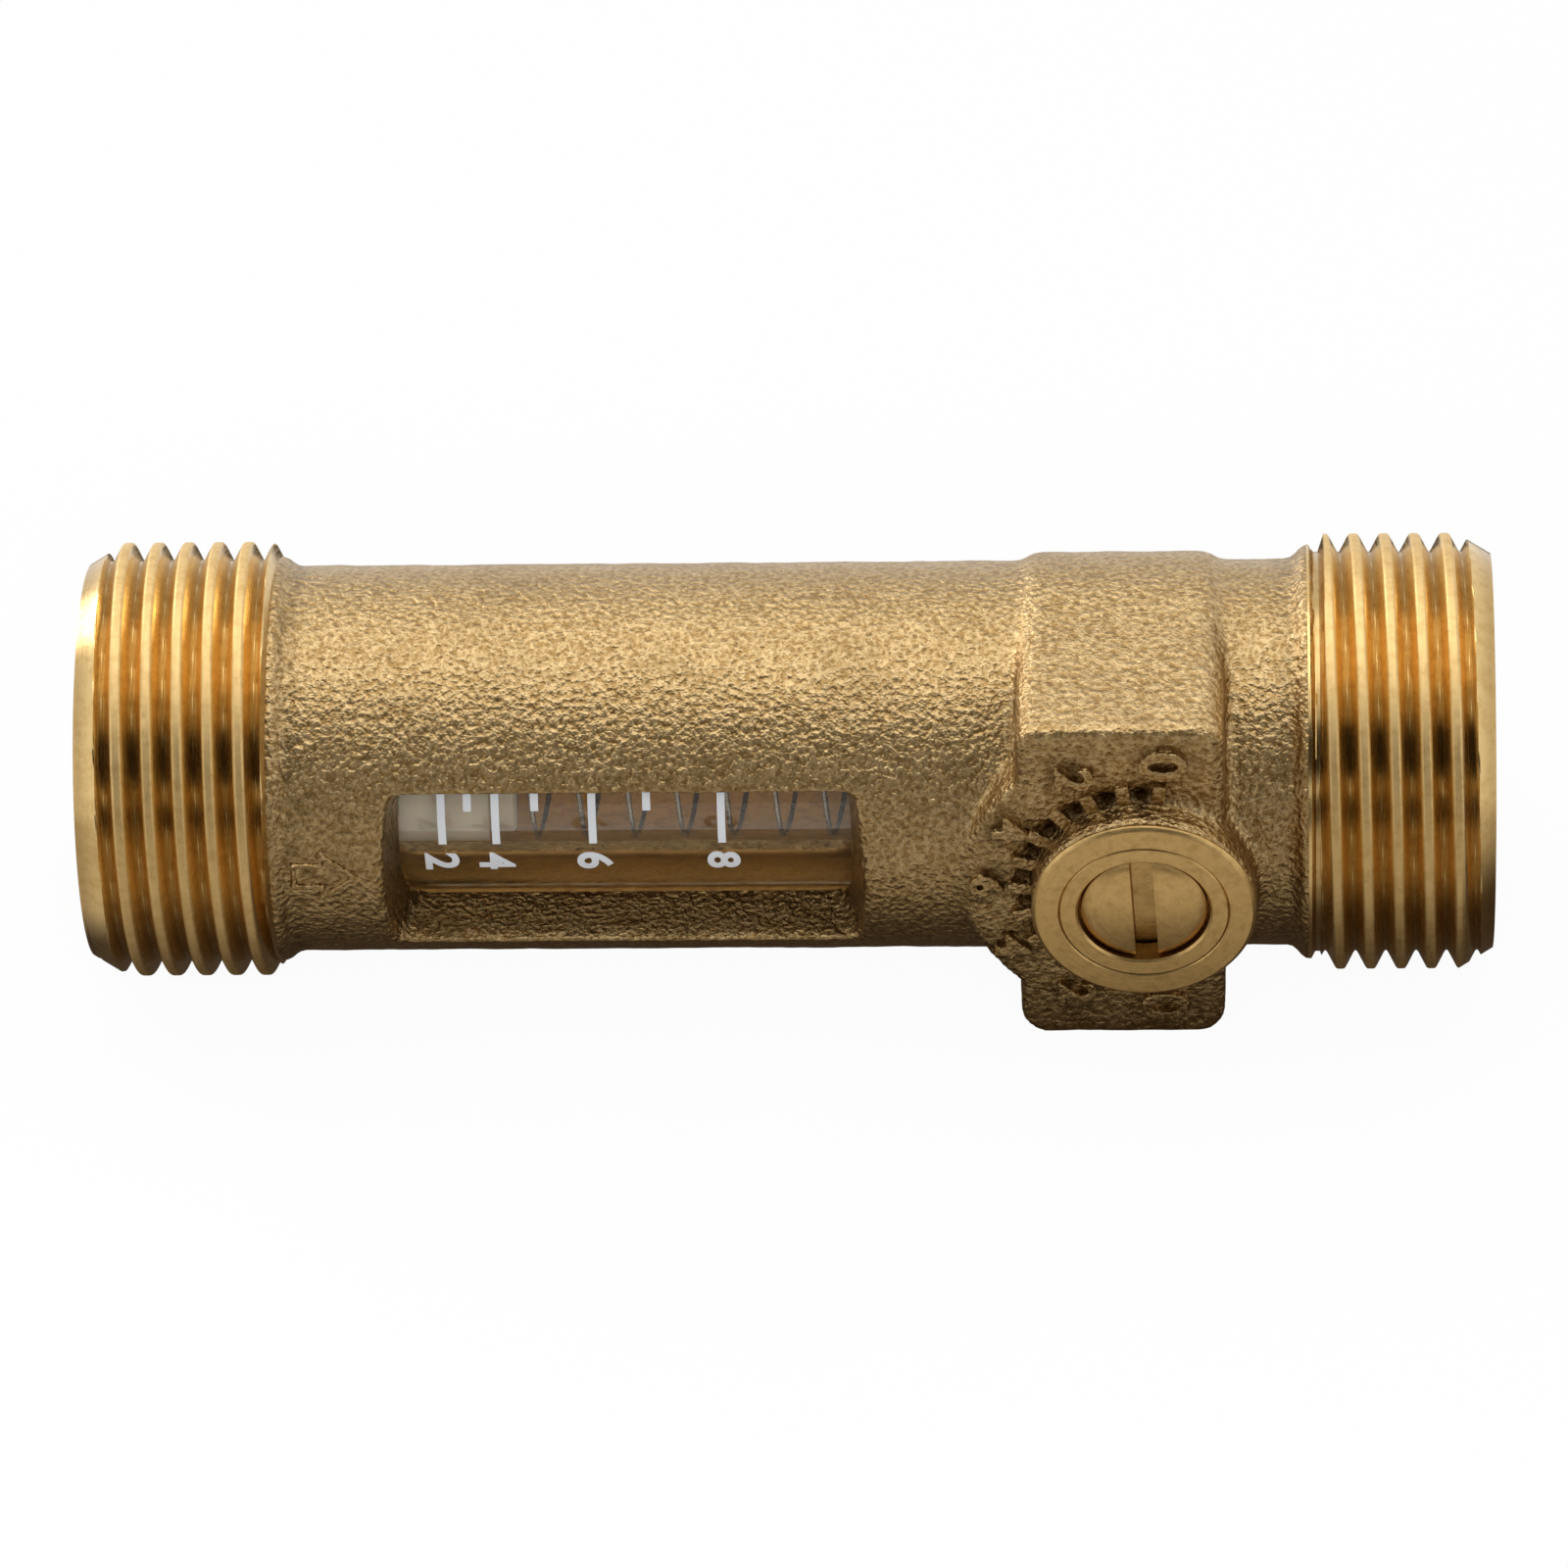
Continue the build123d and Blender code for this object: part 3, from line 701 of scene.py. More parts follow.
def slice_flat(shape: bmesh.types.BMesh, axis: int, step: float) -> None:
    """Cut a flat shape into strips, so that it can be wrapped round a tube."""
    spots = [vert.co[axis] for vert in shape.verts]
    normal = Vector([1.0 if i == axis else 0.0 for i in range(3)])
    place = math.ceil(min(spots) / step) * step
    while place < max(spots):
        everything = list(shape.verts) + list(shape.edges) + list(shape.faces)
        bmesh.ops.bisect_plane(shape, geom=everything, plane_co=normal * place, plane_no=normal, dist=1e-3)
        place += step


@dataclass(frozen=True)
class PipeThread:
    """One end's machined G 1 male thread on its tube, cut as the lathe leaves it."""

    name: str
    blank: tuple[Point, ...]
    inner: tuple[Point, ...]
    crest_x: float
    cut_from: float
    cut_to: float
    fade_from: float
    fade_to: float
    seed: int
    crest_r: float = 16.62
    depth: float = 1.46
    pitch: float = 2.309
    crest_angle: float = 49.5
    crest_half: float = 0.33
    root_half: float = 0.06
    rounding: float = 0.08
    step: float = 0.09
    segments: int = 360
    nicks: int = 26
    nick_size: float = 0.3
    nick_depth: float = 0.08

    def ridge(self, offset: np.ndarray) -> np.ndarray:
        """Height of the thread above its root.

        Args:
            offset: Distances along the axis from the nearest crest.

        Returns:
            Heights from 0 at the root to the full depth, with rounded corners.
        """
        fine = np.linspace(-self.pitch / 2, self.pitch / 2, 400, endpoint=False)
        flank = self.pitch / 2 - self.crest_half - self.root_half
        ideal = np.clip((self.pitch / 2 - self.root_half - np.abs(fine)) / flank, 0, 1)
        kernel = np.exp(-0.5 * (fine / self.rounding) ** 2)
        spectrum = np.fft.fft(np.fft.ifftshift(kernel / kernel.sum()))
        smooth = np.real(np.fft.ifft(np.fft.fft(ideal) * spectrum))
        return self.depth * np.interp(offset, fine, smooth, period=self.pitch)

    def radius(self, x: np.ndarray, turn: np.ndarray) -> np.ndarray:
        """Outside radius at places along and round the pipe, nicks included.

        Args:
            x: Places along the axis.
            turn: Angles about it, of the same shape.

        Returns:
            Radii in millimetres.
        """
        blank = np.interp(x, [p[0] for p in self.blank], [p[1] for p in self.blank])
        lead = (turn - math.radians(self.crest_angle)) / (2 * math.pi) * self.pitch
        offset = (x - self.crest_x - lead + self.pitch / 2) % self.pitch - self.pitch / 2
        cut = self.crest_r - self.depth + self.ridge(offset)
        share = np.clip((x - self.fade_from) / (self.fade_to - self.fade_from), 0, 1)
        cut = cut + 2 * self.depth * share**2 * (3 - 2 * share)
        threaded = (x >= self.cut_from) & (x <= self.cut_to)
        radii = np.where(threaded, np.minimum(cut, blank), blank)
        rng = random.Random(self.seed)
        for _ in range(self.nicks):
            spot_turn = rng.uniform(-math.pi, math.pi)
            turns = rng.randint(0, 4)
            spot_lead = (spot_turn - math.radians(self.crest_angle)) / (2 * math.pi) * self.pitch
            spot_x = self.crest_x + spot_lead + turns * self.pitch + rng.uniform(-0.3, 0.3)
            size = self.nick_size * rng.uniform(0.5, 1.2)
            swing = (turn - spot_turn + math.pi) % (2 * math.pi) - math.pi
            away = ((x - spot_x) ** 2 + (swing * self.crest_r) ** 2) / size**2
            radii = radii - self.nick_depth * rng.uniform(0.3, 1.0) * np.exp(-away)
        return radii

    def build(self, material: bpy.types.Material) -> bpy.types.Object:
        """Make the threaded tube.

        Args:
            material: Its turned finish.

        Returns:
            The piece, on the valve's body.
        """
        start, end = self.blank[0][0], self.blank[-1][0]
        stations = sorted(set(np.arange(start, end, self.step)) | {x for x, _ in self.blank})
        turn = np.linspace(-math.pi, math.pi, self.segments, endpoint=False)
        rings = []
        for x in stations:
            radii = self.radius(np.full(self.segments, x), turn)
            rings.append(np.column_stack((np.full(self.segments, x), radii * np.cos(turn), radii * np.sin(turn))))
        for x, r in self.inner:
            rings.append(np.column_stack((np.full(self.segments, x), r * np.cos(turn), r * np.sin(turn))))
        piece = turned_rings(rings, self.name)
        shade(dress(piece, material), 50.0)
        return hand_over(piece, Body.VALVE, Slot.TURNED_BRASS)


@dataclass
class Casting:
    """The cast body with its window, block, dial and boss."""

    tube_r: float = 14.75
    cut_inlet: float = 14.62
    cut_outlet: float = 92.87
    cut_boss: float = -17.62
    buried: float = 0.45
    mouth_r: float = 12.0
    bore_r: float = 10.05
    voxel: float = 0.42
    dial_y: float = -15.0
    boss_r: float = 8.5
    block_start: float = STEM_X - 9.5
    block_end: float = STEM_X + 6.1
    block_half: float = 15.4
    foot_r: float = 2.8
    hollow_depth: float = 0.5
    pocket_r: float = 6.4
    numeral_height: float = 0.55
    numerals: tuple[tuple[str, float, float, Point], ...] = (
        ("0", 82.9, 12.3, (2.8, 3.7)), ("0", -82.9, 12.3, (2.8, 3.7)),
        ("2", 115.5, 12.0, (2.3, 2.9)), ("2", -115.5, 12.0, (2.3, 2.9)),
        ("4", 149.3, 11.6, (2.4, 2.8)), ("4", -149.3, 11.6, (2.4, 2.8)),
        ("6", 179.0, 11.85, (2.2, 2.7)),
    )
    numeral_bold: float = 0.15
    tick_count: int = 13
    tick_step: float = 16.2
    tick_first: float = 82.8
    tick_middle_r: float = 9.35
    tick_length: float = 1.9
    tick_width: float = 1.05
    waves: tuple[Point, ...] = ((3.2, 0.05), (1.1, 0.035))

    def cut_ends(self, shape: bmesh.types.BMesh) -> None:
        """Take off the threads and the boss's face, and close the cuts.

        Args:
            shape: The welded solid, in metres.
        """
        cuts = (
            (Vector((self.cut_inlet, 0, 0)), Vector((-1, 0, 0))),
            (Vector((self.cut_outlet, 0, 0)), Vector((1, 0, 0))),
            (Vector((STEM_X, self.cut_boss, 0)), Vector((0, -1, 0))),
        )
        for place, out in cuts:
            everything = list(shape.verts) + list(shape.edges) + list(shape.faces)
            bmesh.ops.bisect_plane(shape, geom=everything, plane_co=place * MM, plane_no=out, clear_outer=True)
            rim = [edge for edge in shape.edges if edge.is_boundary]
            if out.x:
                made = bmesh.ops.extrude_edge_only(shape, edges=rim)["geom"]
                for vert in (item for item in made if isinstance(item, bmesh.types.BMVert)):
                    reach = math.hypot(vert.co.y, vert.co.z)
                    wider = (self.mouth_r + self.buried) * MM / reach if reach < (self.mouth_r + 1) * MM else 1.0
                    vert.co = Vector((vert.co.x, vert.co.y * wider, vert.co.z * wider)) + out * self.buried * MM
                rim = [edge for edge in shape.edges if edge.is_boundary]
            bmesh.ops.triangle_fill(shape, use_beauty=True, use_dissolve=False, edges=rim, normal=out)

    def roughen(self, piece: bpy.types.Object) -> None:
        """Give the outside the casting's waves and its painted shade and grime, and keep the bores smooth.

        Args:
            piece: The remeshed casting.
        """
        mesh = piece.data
        count = len(mesh.vertices)
        spots, normals = np.zeros(count * 3), np.zeros(count * 3)
        mesh.vertices.foreach_get("co", spots)
        mesh.vertices.foreach_get("normal", normals)
        spots, normals = spots.reshape(-1, 3) / MM, normals.reshape(-1, 3)
        reach = np.hypot(spots[:, 1], spots[:, 2])
        from_stem = np.hypot(spots[:, 0] - STEM_X, spots[:, 2])
        outside = np.clip((reach - self.bore_r - 0.4) / 0.6, 0, 1)
        in_boss = (spots[:, 1] < self.dial_y) & (from_stem < self.boss_r - 0.6)
        outside[in_boss | (spots[:, 1] < self.cut_boss + 0.5)] = 0
        rise = np.zeros(count)
        for size, depth in self.waves:
            rise += depth * np.array([noise.noise(Vector(spot) / size) for spot in spots])
        moved = spots + normals * (rise * outside)[:, None]
        moved[:, 1] += self.hollow_depth * self.hollows(spots, from_stem)
        moved = self.round_foot(moved)
        mesh.vertices.foreach_set("co", (moved * MM).ravel())
        # The painted shade and grime go to the finish as a vertex attribute.
        shade_and_grime = mesh.attributes.new("shade_and_grime", "FLOAT", "POINT")
        shade_and_grime.data.foreach_set("value", self.shade_and_grime(spots, from_stem).astype(np.float32))
        mesh.update()

    def hollows(self, spots: np.ndarray, from_stem: np.ndarray) -> np.ndarray:
        """Pits that the pattern leaves in the dial plane between its ribs.

        Args:
            spots: Vertices in millimetres.
            from_stem: Their distances from the stem's axis.

        Returns:
            Shares from 0 outside to 1 at the bottom of a pit.
        """
        degrees = np.degrees(np.arctan2(spots[:, 2], spots[:, 0] - STEM_X)) % 360
        steps = (degrees - self.tick_first) / self.tick_step
        between = (0.5 - 0.5 * np.cos(2 * math.pi * steps)) * (steps > 0) * (steps < self.tick_count - 1)
        ring = np.exp(-((from_stem - self.boss_r - 0.55) / 0.6) ** 2)
        return between * ring * (np.abs(spots[:, 1] - self.dial_y) < 0.9)

    def round_foot(self, spots: np.ndarray) -> np.ndarray:
        """Round the two lower corners of the dial plate.

        Args:
            spots: Vertices in millimetres.

        Returns:
            The vertices with those corners drawn in.
        """
        radius = self.foot_r * np.clip(-spots[:, 1] / 8.0, 0.05, 1)
        rounded = spots.copy()
        for edge, side in ((self.block_start, -1), (self.block_end, 1)):
            u = side * (spots[:, 0] - edge) + radius
            v = -(spots[:, 2] + self.block_half) + radius
            reach = np.hypot(u, v)
            corner = (u > 0) & (u < radius + 0.4) & (v > 0) & (v < radius + 0.4)
            out = corner & (reach > radius) & (spots[:, 1] < 0)
            share = np.where(out, radius / np.maximum(reach, 1e-6), 1.0)
            rounded[:, 0] = np.where(out, edge - side * radius + side * u * share, rounded[:, 0])
            rounded[:, 2] = np.where(out, -self.block_half + radius - v * share, rounded[:, 2])
        return rounded

    def shade_and_grime(self, spots: np.ndarray, from_stem: np.ndarray) -> np.ndarray:
        """Painted shade in corners and recesses, and darker patches round the numerals and the arrow.

        Args:
            spots: Vertices in millimetres.
            from_stem: Their distances from the stem's axis.

        Returns:
            Shares from 0 unmarked to 1 dark.
        """
        x, y, z = spots.T
        patch = np.array([0.5 + noise.noise(Vector(spot) / 0.9) for spot in spots])
        # Painted shade on the inner walls of the window.
        window = np.clip((-y - 5.0) / 1.0, 0, 1) * (np.abs(z) < 7.6)
        inner = np.clip((13.6 - np.hypot(y, z)) / 2.5, 0, 1) * (x > 22.5) * (x < 60.0) * window
        # Painted shade round the foot of the boss and in the pits between the ribs.
        foot = np.exp(-((from_stem - self.boss_r - 0.4) / 0.7) ** 2) * (np.abs(y - self.dial_y) < 0.6)
        hollows = foot * (x < STEM_X + 2) * 0.35 + self.hollows(spots, from_stem)
        # The dial is painted darker in patches round each numeral.
        for _, degrees, reach, _ in self.numerals:
            away_x = x - STEM_X - reach * math.cos(math.radians(degrees))
            away_z = z - reach * math.sin(math.radians(degrees))
            halo = np.exp(-((away_x**2 + away_z**2) / 2.1**2) ** 2) * (np.abs(y - self.dial_y) < 0.5)
            hollows = hollows + halo * np.clip(patch * 1.3 - 0.1, 0.1, 0.75)
        # Painted shade in the steps where the threads meet the casting, in patches, and darker patches round the
        # arrow.
        collar = 0.45 * np.exp(-((x - 16.0) / 0.8) ** 2) + 0.3 * np.exp(-((x - 91.3) / 0.8) ** 2)
        arrow = 0.5 * np.exp(-(((x - 19.0) / 2.6) ** 2 + ((z - 1.0) / 2.4) ** 2)) * (y < 0)
        edges = inner * 0.3 + hollows + (collar + arrow) * np.clip(patch * 1.6 - 0.3, 0, 1)
        return np.clip(edges, 0, 1)

    def build_skin(self, cast: bpy.types.Material, bored: bpy.types.Material) -> bpy.types.Object:
        """Make the casting from the CAD solid.

        Args:
            cast: Finish of its outside.
            bored: Finish of its machined bores.

        Returns:
            The piece, which stands for the CAD body.
        """
        piece = welded_copy("valve_body", "cast_body")
        shape = bmesh.new()
        shape.from_mesh(piece.data)
        self.cut_ends(shape)
        shape.to_mesh(piece.data)
        shape.free()
        soften(piece, self.voxel, 2)
        dress(piece, cast, bored)
        self.roughen(piece)
        for face in piece.data.polygons:
            centre = face.center / MM
            if math.hypot(centre.y, centre.z) < self.bore_r + 0.25:
                face.material_index = 1
        shade(piece, 60.0)
        return hand_over(piece, Body.VALVE, Slot.CAST_BRASS, "valve_body")

    def build_boss_face(self, material: bpy.types.Material) -> bpy.types.Object:
        """Turned end of the boss, with its edge broken."""
        top = -18.1
        profile = (
            (-17.2, self.pocket_r + 0.02), (-17.2, 8.2), (-17.56, 8.3), (-17.62, self.boss_r - 0.02),
            (-17.78, self.boss_r), (-17.95, self.boss_r - 0.1), (top, self.boss_r - 0.34),
            (top, self.pocket_r + 0.1), (top + 0.08, self.pocket_r + 0.02),
        )
        piece = lathe("boss_face", profile, Axis.STEM, 256)
        dress(piece, material)
        return hand_over(piece, Body.VALVE, Slot.TURNED_BRASS)

    def build_numerals(self, cast: bpy.types.Material) -> bpy.types.Object:
        """Raised numerals of the dial, their tops towards the outlet."""
        points, faces = [], []
        for character, degrees, reach, size in self.numerals:
            shape = glyph(character, size, self.numeral_bold)
            thicken(shape, self.numeral_height + 0.3)
            centre_x = STEM_X + reach * math.cos(math.radians(degrees))
            centre_z = reach * math.sin(math.radians(degrees))
            first = len(points)
            shape.verts.ensure_lookup_table()
            for vert in shape.verts:
                points.append((centre_x + vert.co.y, self.dial_y + 0.3 - vert.co.z, centre_z - vert.co.x))
            faces.extend([first + vert.index for vert in face.verts] for face in shape.faces)
            shape.free()
        piece = mesh_object("dial_numerals", np.array(points), faces)
        point_out(piece.data)
        soften(piece, 0.11, 3)
        dress(piece, cast)
        shade(piece, 70.0)
        return hand_over(piece, Body.VALVE, Slot.CAST_BRASS)

    def build_ticks(self, cast: bpy.types.Material) -> bpy.types.Object:
        """Radial ribs round the foot of the boss, one for each step of the dial."""
        shape = NodeShape("dial_ticks")
        tree = shape.tree
        count = shape.number("Count", self.tick_count, whole=True)
        step = shape.number("Step", math.radians(self.tick_step))
        first = shape.number("First angle", math.radians(self.tick_first))
        reach = shape.number("Middle radius", self.tick_middle_r * MM)
        length = shape.number("Length", self.tick_length * MM)
        width = shape.number("Width", self.tick_width * MM)
        height = shape.number("Height", 2 * self.numeral_height * MM)
        line = add_node(tree, "GeometryNodeMeshLine", {"Count": count})
        index = add_node(tree, "GeometryNodeInputIndex").outputs[0]
        turned = add_node(tree, "ShaderNodeMath", {0: index, 1: step}, operation="MULTIPLY").outputs[0]
        turn = add_node(tree, "ShaderNodeMath", {0: first, 1: turned}, operation="ADD").outputs[0]
        x, z = (
            add_node(
                tree, "ShaderNodeMath",
                {0: add_node(tree, "ShaderNodeMath", {0: turn}, operation=way).outputs[0], 1: reach, 2: middle},
                operation="MULTIPLY_ADD",
            ).outputs[0]
            for way, middle in (("COSINE", STEM_X * MM), ("SINE", 0.0))
        )
        place = add_node(tree, "ShaderNodeCombineXYZ", {"X": x, "Y": self.dial_y * MM, "Z": z}).outputs[0]
        spots = add_node(tree, "GeometryNodeSetPosition", {"Geometry": line.outputs[0], "Position": place})
        size = add_node(tree, "ShaderNodeCombineXYZ", {"X": length, "Y": height, "Z": width}).outputs[0]
        bar = add_node(tree, "GeometryNodeMeshCube", {"Size": size})
        back = add_node(tree, "ShaderNodeMath", {0: turn, 1: -1.0}, operation="MULTIPLY").outputs[0]
        spin = add_node(tree, "ShaderNodeCombineXYZ", {"Y": back}).outputs[0]
        bars = add_node(
            tree, "GeometryNodeInstanceOnPoints",
            {"Points": spots.outputs[0], "Instance": bar.outputs[0], "Rotation": spin},
        )
        piece = shape.make(bars.outputs[0], cast)
        soften(piece, 0.11, 4)
        dress(piece, cast)
        shade(piece, 70.0)
        return hand_over(piece, Body.VALVE, Slot.CAST_BRASS)

    def build_arrow(self, cast: bpy.types.Material) -> bpy.types.Object:
        """Raised outline of the flow arrow beside the window."""
        corners = (
            (16.3, 2.1), (18.4, 2.1), (18.4, 3.0), (20.9, 1.0), (18.4, -0.95), (18.4, 0.1), (16.3, 0.1),
        )
        half, sides, points, faces = 0.2, 8, [], []
        ring = np.linspace(0, 2 * math.pi, sides, endpoint=False)
        for here, there in zip(corners, corners[1:] + corners[:1]):
            a, b = (Vector((x, -math.sqrt(self.tube_r**2 - z * z), z)) for x, z in (here, there))
            run = (b - a).normalized()
            across = run.cross(Vector((0, -1, 0))).normalized()
            out = across.cross(run)
            first = len(points)
            for end, stretch in ((a, -half), (b, half)):
                for angle in ring:
                    rim = across * math.cos(angle) * half * 1.1 + out * math.sin(angle) * half * 1.4
                    points.append(end + run * stretch + rim)
            for k in range(sides):
                after = (k + 1) % sides
                faces.append((first + k, first + after, first + sides + after, first + sides + k))
            faces.append(range(first, first + sides))
            faces.append(range(first + sides, first + 2 * sides))
        piece = mesh_object("flow_arrow", np.array(points), faces)
        point_out(piece.data)
        soften(piece, 0.1, 4)
        dress(piece, cast)
        shade(piece, 70.0)
        return hand_over(piece, Body.VALVE, Slot.CAST_BRASS)


@dataclass
class SightTube:
    """The clear tube and the flow scale printed on it."""

    radius: float = 9.9
    bore_r: float = 6.55
    flange_r: float = 11.9
    flange_length: float = 4.85
    cage_r: float = 9.05
    cage_depth: float = 2.1
    cone_r: float = 7.75
    cone_length: float = 4.2
    stop_r: float = 7.85
    stop_depth: float = 2.0
    groove_half: float = 0.75
    flange_groove: Point = (16.8, 10.7)
    tail_groove: Point = (62.3, 8.7)
    ink_low: float = 0.008
    ink_high: float = 0.03
    tick_width: float = 0.6
    tick_top: float = 5.6

    def build_tube(self, material: bpy.types.Material) -> bpy.types.Object:
        """Turn the tube on the sizes of its CAD solid, with many more facets.

        Args:
            material: The clear finish.

        Returns:
            The piece, which stands for the CAD tube.
        """
        start, end = low_mm("sight_tube").x, high_mm("sight_tube").x
        shoulder = start + self.flange_length
        profile = [(start, self.cage_r), (start, self.flange_r)]
        for place, floor, crown in ((*self.flange_groove, self.flange_r), (*self.tail_groove, self.radius)):
            near, far = place - self.groove_half, place + self.groove_half
            profile += [(near, crown), (near, floor), (far, floor), (far, crown)]
            if crown == self.flange_r:
                profile += [(shoulder, self.flange_r), (shoulder, self.radius)]
        profile += [
            (end, self.radius), (end, self.stop_r), (end - self.stop_depth, self.stop_r),
            (end - self.stop_depth, self.bore_r), (start + self.cage_depth + self.cone_length, self.bore_r),
            (start + self.cage_depth, self.cone_r), (start + self.cage_depth, self.cage_r),
        ]
        piece = lathe("clear_tube", profile, Axis.PIPE, 256)
        dress(piece, material)
        return hand_over(piece, Body.VALVE, Slot.CLEAR_POLYMER, "sight_tube")

    def wrap(self, shape: bmesh.types.BMesh, points: list, faces: list) -> None:
        """Lay a flat slab of ink round the tube.

        Args:
            shape: Slab whose X runs along the pipe and Y up round the tube.
            points: Vertices so far, which grow.
            faces: Faces so far, which grow.
        """
        first = len(points)
        shape.verts.index_update()
        for vert in shape.verts:
            radius = self.radius + self.ink_low + vert.co.z
            turn = vert.co.y / self.radius
            points.append((vert.co.x, -radius * math.cos(turn), radius * math.sin(turn)))
        faces.extend([first + vert.index for vert in face.verts] for face in shape.faces)
        shape.free()

    def build_scale(self, ink: bpy.types.Material) -> bpy.types.Object:
        """Print the scale's ticks and numerals.

        Args:
            ink: Finish of the print.

        Returns:
            The piece, on the valve's body.
        """
        long_ticks = (27.3, 31.4, 38.75, 48.55)
        short_ticks = (29.3, 34.4, 42.9)
        numerals = (("2", 27.17, 2.62), ("4", 31.35, 2.76), ("6", 38.82, 2.76), ("8", 48.62, 2.53))
        numeral_width, numeral_z = 2.11, -1.99
        points, faces = [], []
        marks = [(x, -0.03) for x in long_ticks] + [(x, 2.9) for x in short_ticks]
        for x, bottom in marks:
            shape = bmesh.new()
            low, high = (self.radius * math.asin(z / self.radius) for z in (bottom, self.tick_top))
            corners = [(-1, low), (1, low), (1, high), (-1, high)]
            shape.faces.new([shape.verts.new((x + side * self.tick_width / 2, y, 0)) for side, y in corners])
            slice_flat(shape, 1, 0.3)
            thicken(shape, self.ink_high - self.ink_low)
            self.wrap(shape, points, faces)
        for character, x, height in numerals:
            shape = glyph(character, (numeral_width, height), 0.11)
            middle = self.radius * math.asin(numeral_z / self.radius)
            for vert in shape.verts:
                vert.co = Vector((x + vert.co.y, middle - vert.co.x, 0))
            slice_flat(shape, 1, 0.25)
            thicken(shape, self.ink_high - self.ink_low)
            self.wrap(shape, points, faces)
        piece = mesh_object("scale_print", np.array(points), faces)
        point_out(piece.data)
        dress(piece, ink)
        shade(piece, 40.0)
        return hand_over(piece, Body.VALVE, Slot.MOULDED_WHITE)


@dataclass
class Indicator:
    """The float and the spring that pushes it back."""

    radius: float = 6.4
    bore_r: float = 2.8
    spigot_r: float = 5.7
    spigot_length: float = 2.1
    edge: float = 0.3
    wire_r: float = 0.2
    mean_r: float = 6.05
    pitch: float = 3.73
    start_angle: float = 245.0
    points_per_turn: int = 64

    def build_float(self, material: bpy.types.Material) -> bpy.types.Object:
        """Turn the float and its spigot."""
        start, end = low_mm("float").x, high_mm("float").x
        shoulder = end - self.spigot_length
        corner = [
            (start + self.edge * (1 - math.sin(t)), self.radius - self.edge * (1 - math.cos(t)))
            for t in np.linspace(math.pi / 2, 0, 5)
        ]
        profile = [(start, self.bore_r), *corner]
        profile += [
            (shoulder - 0.08, self.radius), (shoulder, self.radius - 0.08), (shoulder, self.spigot_r),
            (end - self.edge, self.spigot_r), (end, self.spigot_r - self.edge), (end, self.bore_r),
        ]
        piece = lathe("float_sleeve", profile, Axis.PIPE)
        dress(piece, material)
        return hand_over(piece, Body.INDICATOR, Slot.FLOAT_POLYMER, "float")

    def build_spring(self, material: bpy.types.Material) -> bpy.types.Object:
        """Wind the spring between the float's shoulder and its stop.

        Args:
            material: The wire's finish.

        Returns:
            The piece, on the valve's body.
        """
        start, end = low_mm("flow_spring").x + self.wire_r, high_mm("flow_spring").x - self.wire_r
        turns = (end - start) / self.pitch
        shape = NodeShape("spring_coil")
        tree = shape.tree
        first = shape.number("Start", start * MM)
        length = shape.number("Length", (end - start) * MM)
        sweep = shape.number("Sweep", turns * 2 * math.pi)
        begin = shape.number("Start angle", math.radians(self.start_angle))
        reach = shape.number("Mean radius", self.mean_r * MM)
        wire = shape.number("Wire radius", self.wire_r * MM)
        count = shape.number("Points", int(turns * self.points_per_turn), whole=True)
        line = add_node(tree, "GeometryNodeCurvePrimitiveLine")
        path = add_node(tree, "GeometryNodeResampleCurve", {"Curve": line.outputs[0], "Count": count})
        share = add_node(tree, "GeometryNodeSplineParameter").outputs["Factor"]
        turn, x = (
            add_node(tree, "ShaderNodeMath", {0: share, 1: whole, 2: start}, operation="MULTIPLY_ADD").outputs[0]
            for whole, start in ((sweep, begin), (length, first))
        )
        y, z = (
            add_node(
                tree, "ShaderNodeMath",
                {0: add_node(tree, "ShaderNodeMath", {0: turn}, operation=way).outputs[0], 1: reach},
                operation="MULTIPLY",
            ).outputs[0]
            for way in ("COSINE", "SINE")
        )
        place = add_node(tree, "ShaderNodeCombineXYZ", {"X": x, "Y": y, "Z": z}).outputs[0]
        wound = add_node(tree, "GeometryNodeSetPosition", {"Geometry": path.outputs[0], "Position": place})
        section = add_node(tree, "GeometryNodeCurvePrimitiveCircle", {"Resolution": 12, "Radius": wire})
        tube = add_node(
            tree, "GeometryNodeCurveToMesh",
            {"Curve": wound.outputs[0], "Profile Curve": section.outputs[0], "Fill Caps": True},
        )
        piece = shape.make(tube.outputs[0], material)
        point_out(piece.data)
        shade(piece, 50.0)
        hand_over(piece, Body.VALVE, Slot.SPRING_STEEL, "flow_spring")
        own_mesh(piece)
        return piece


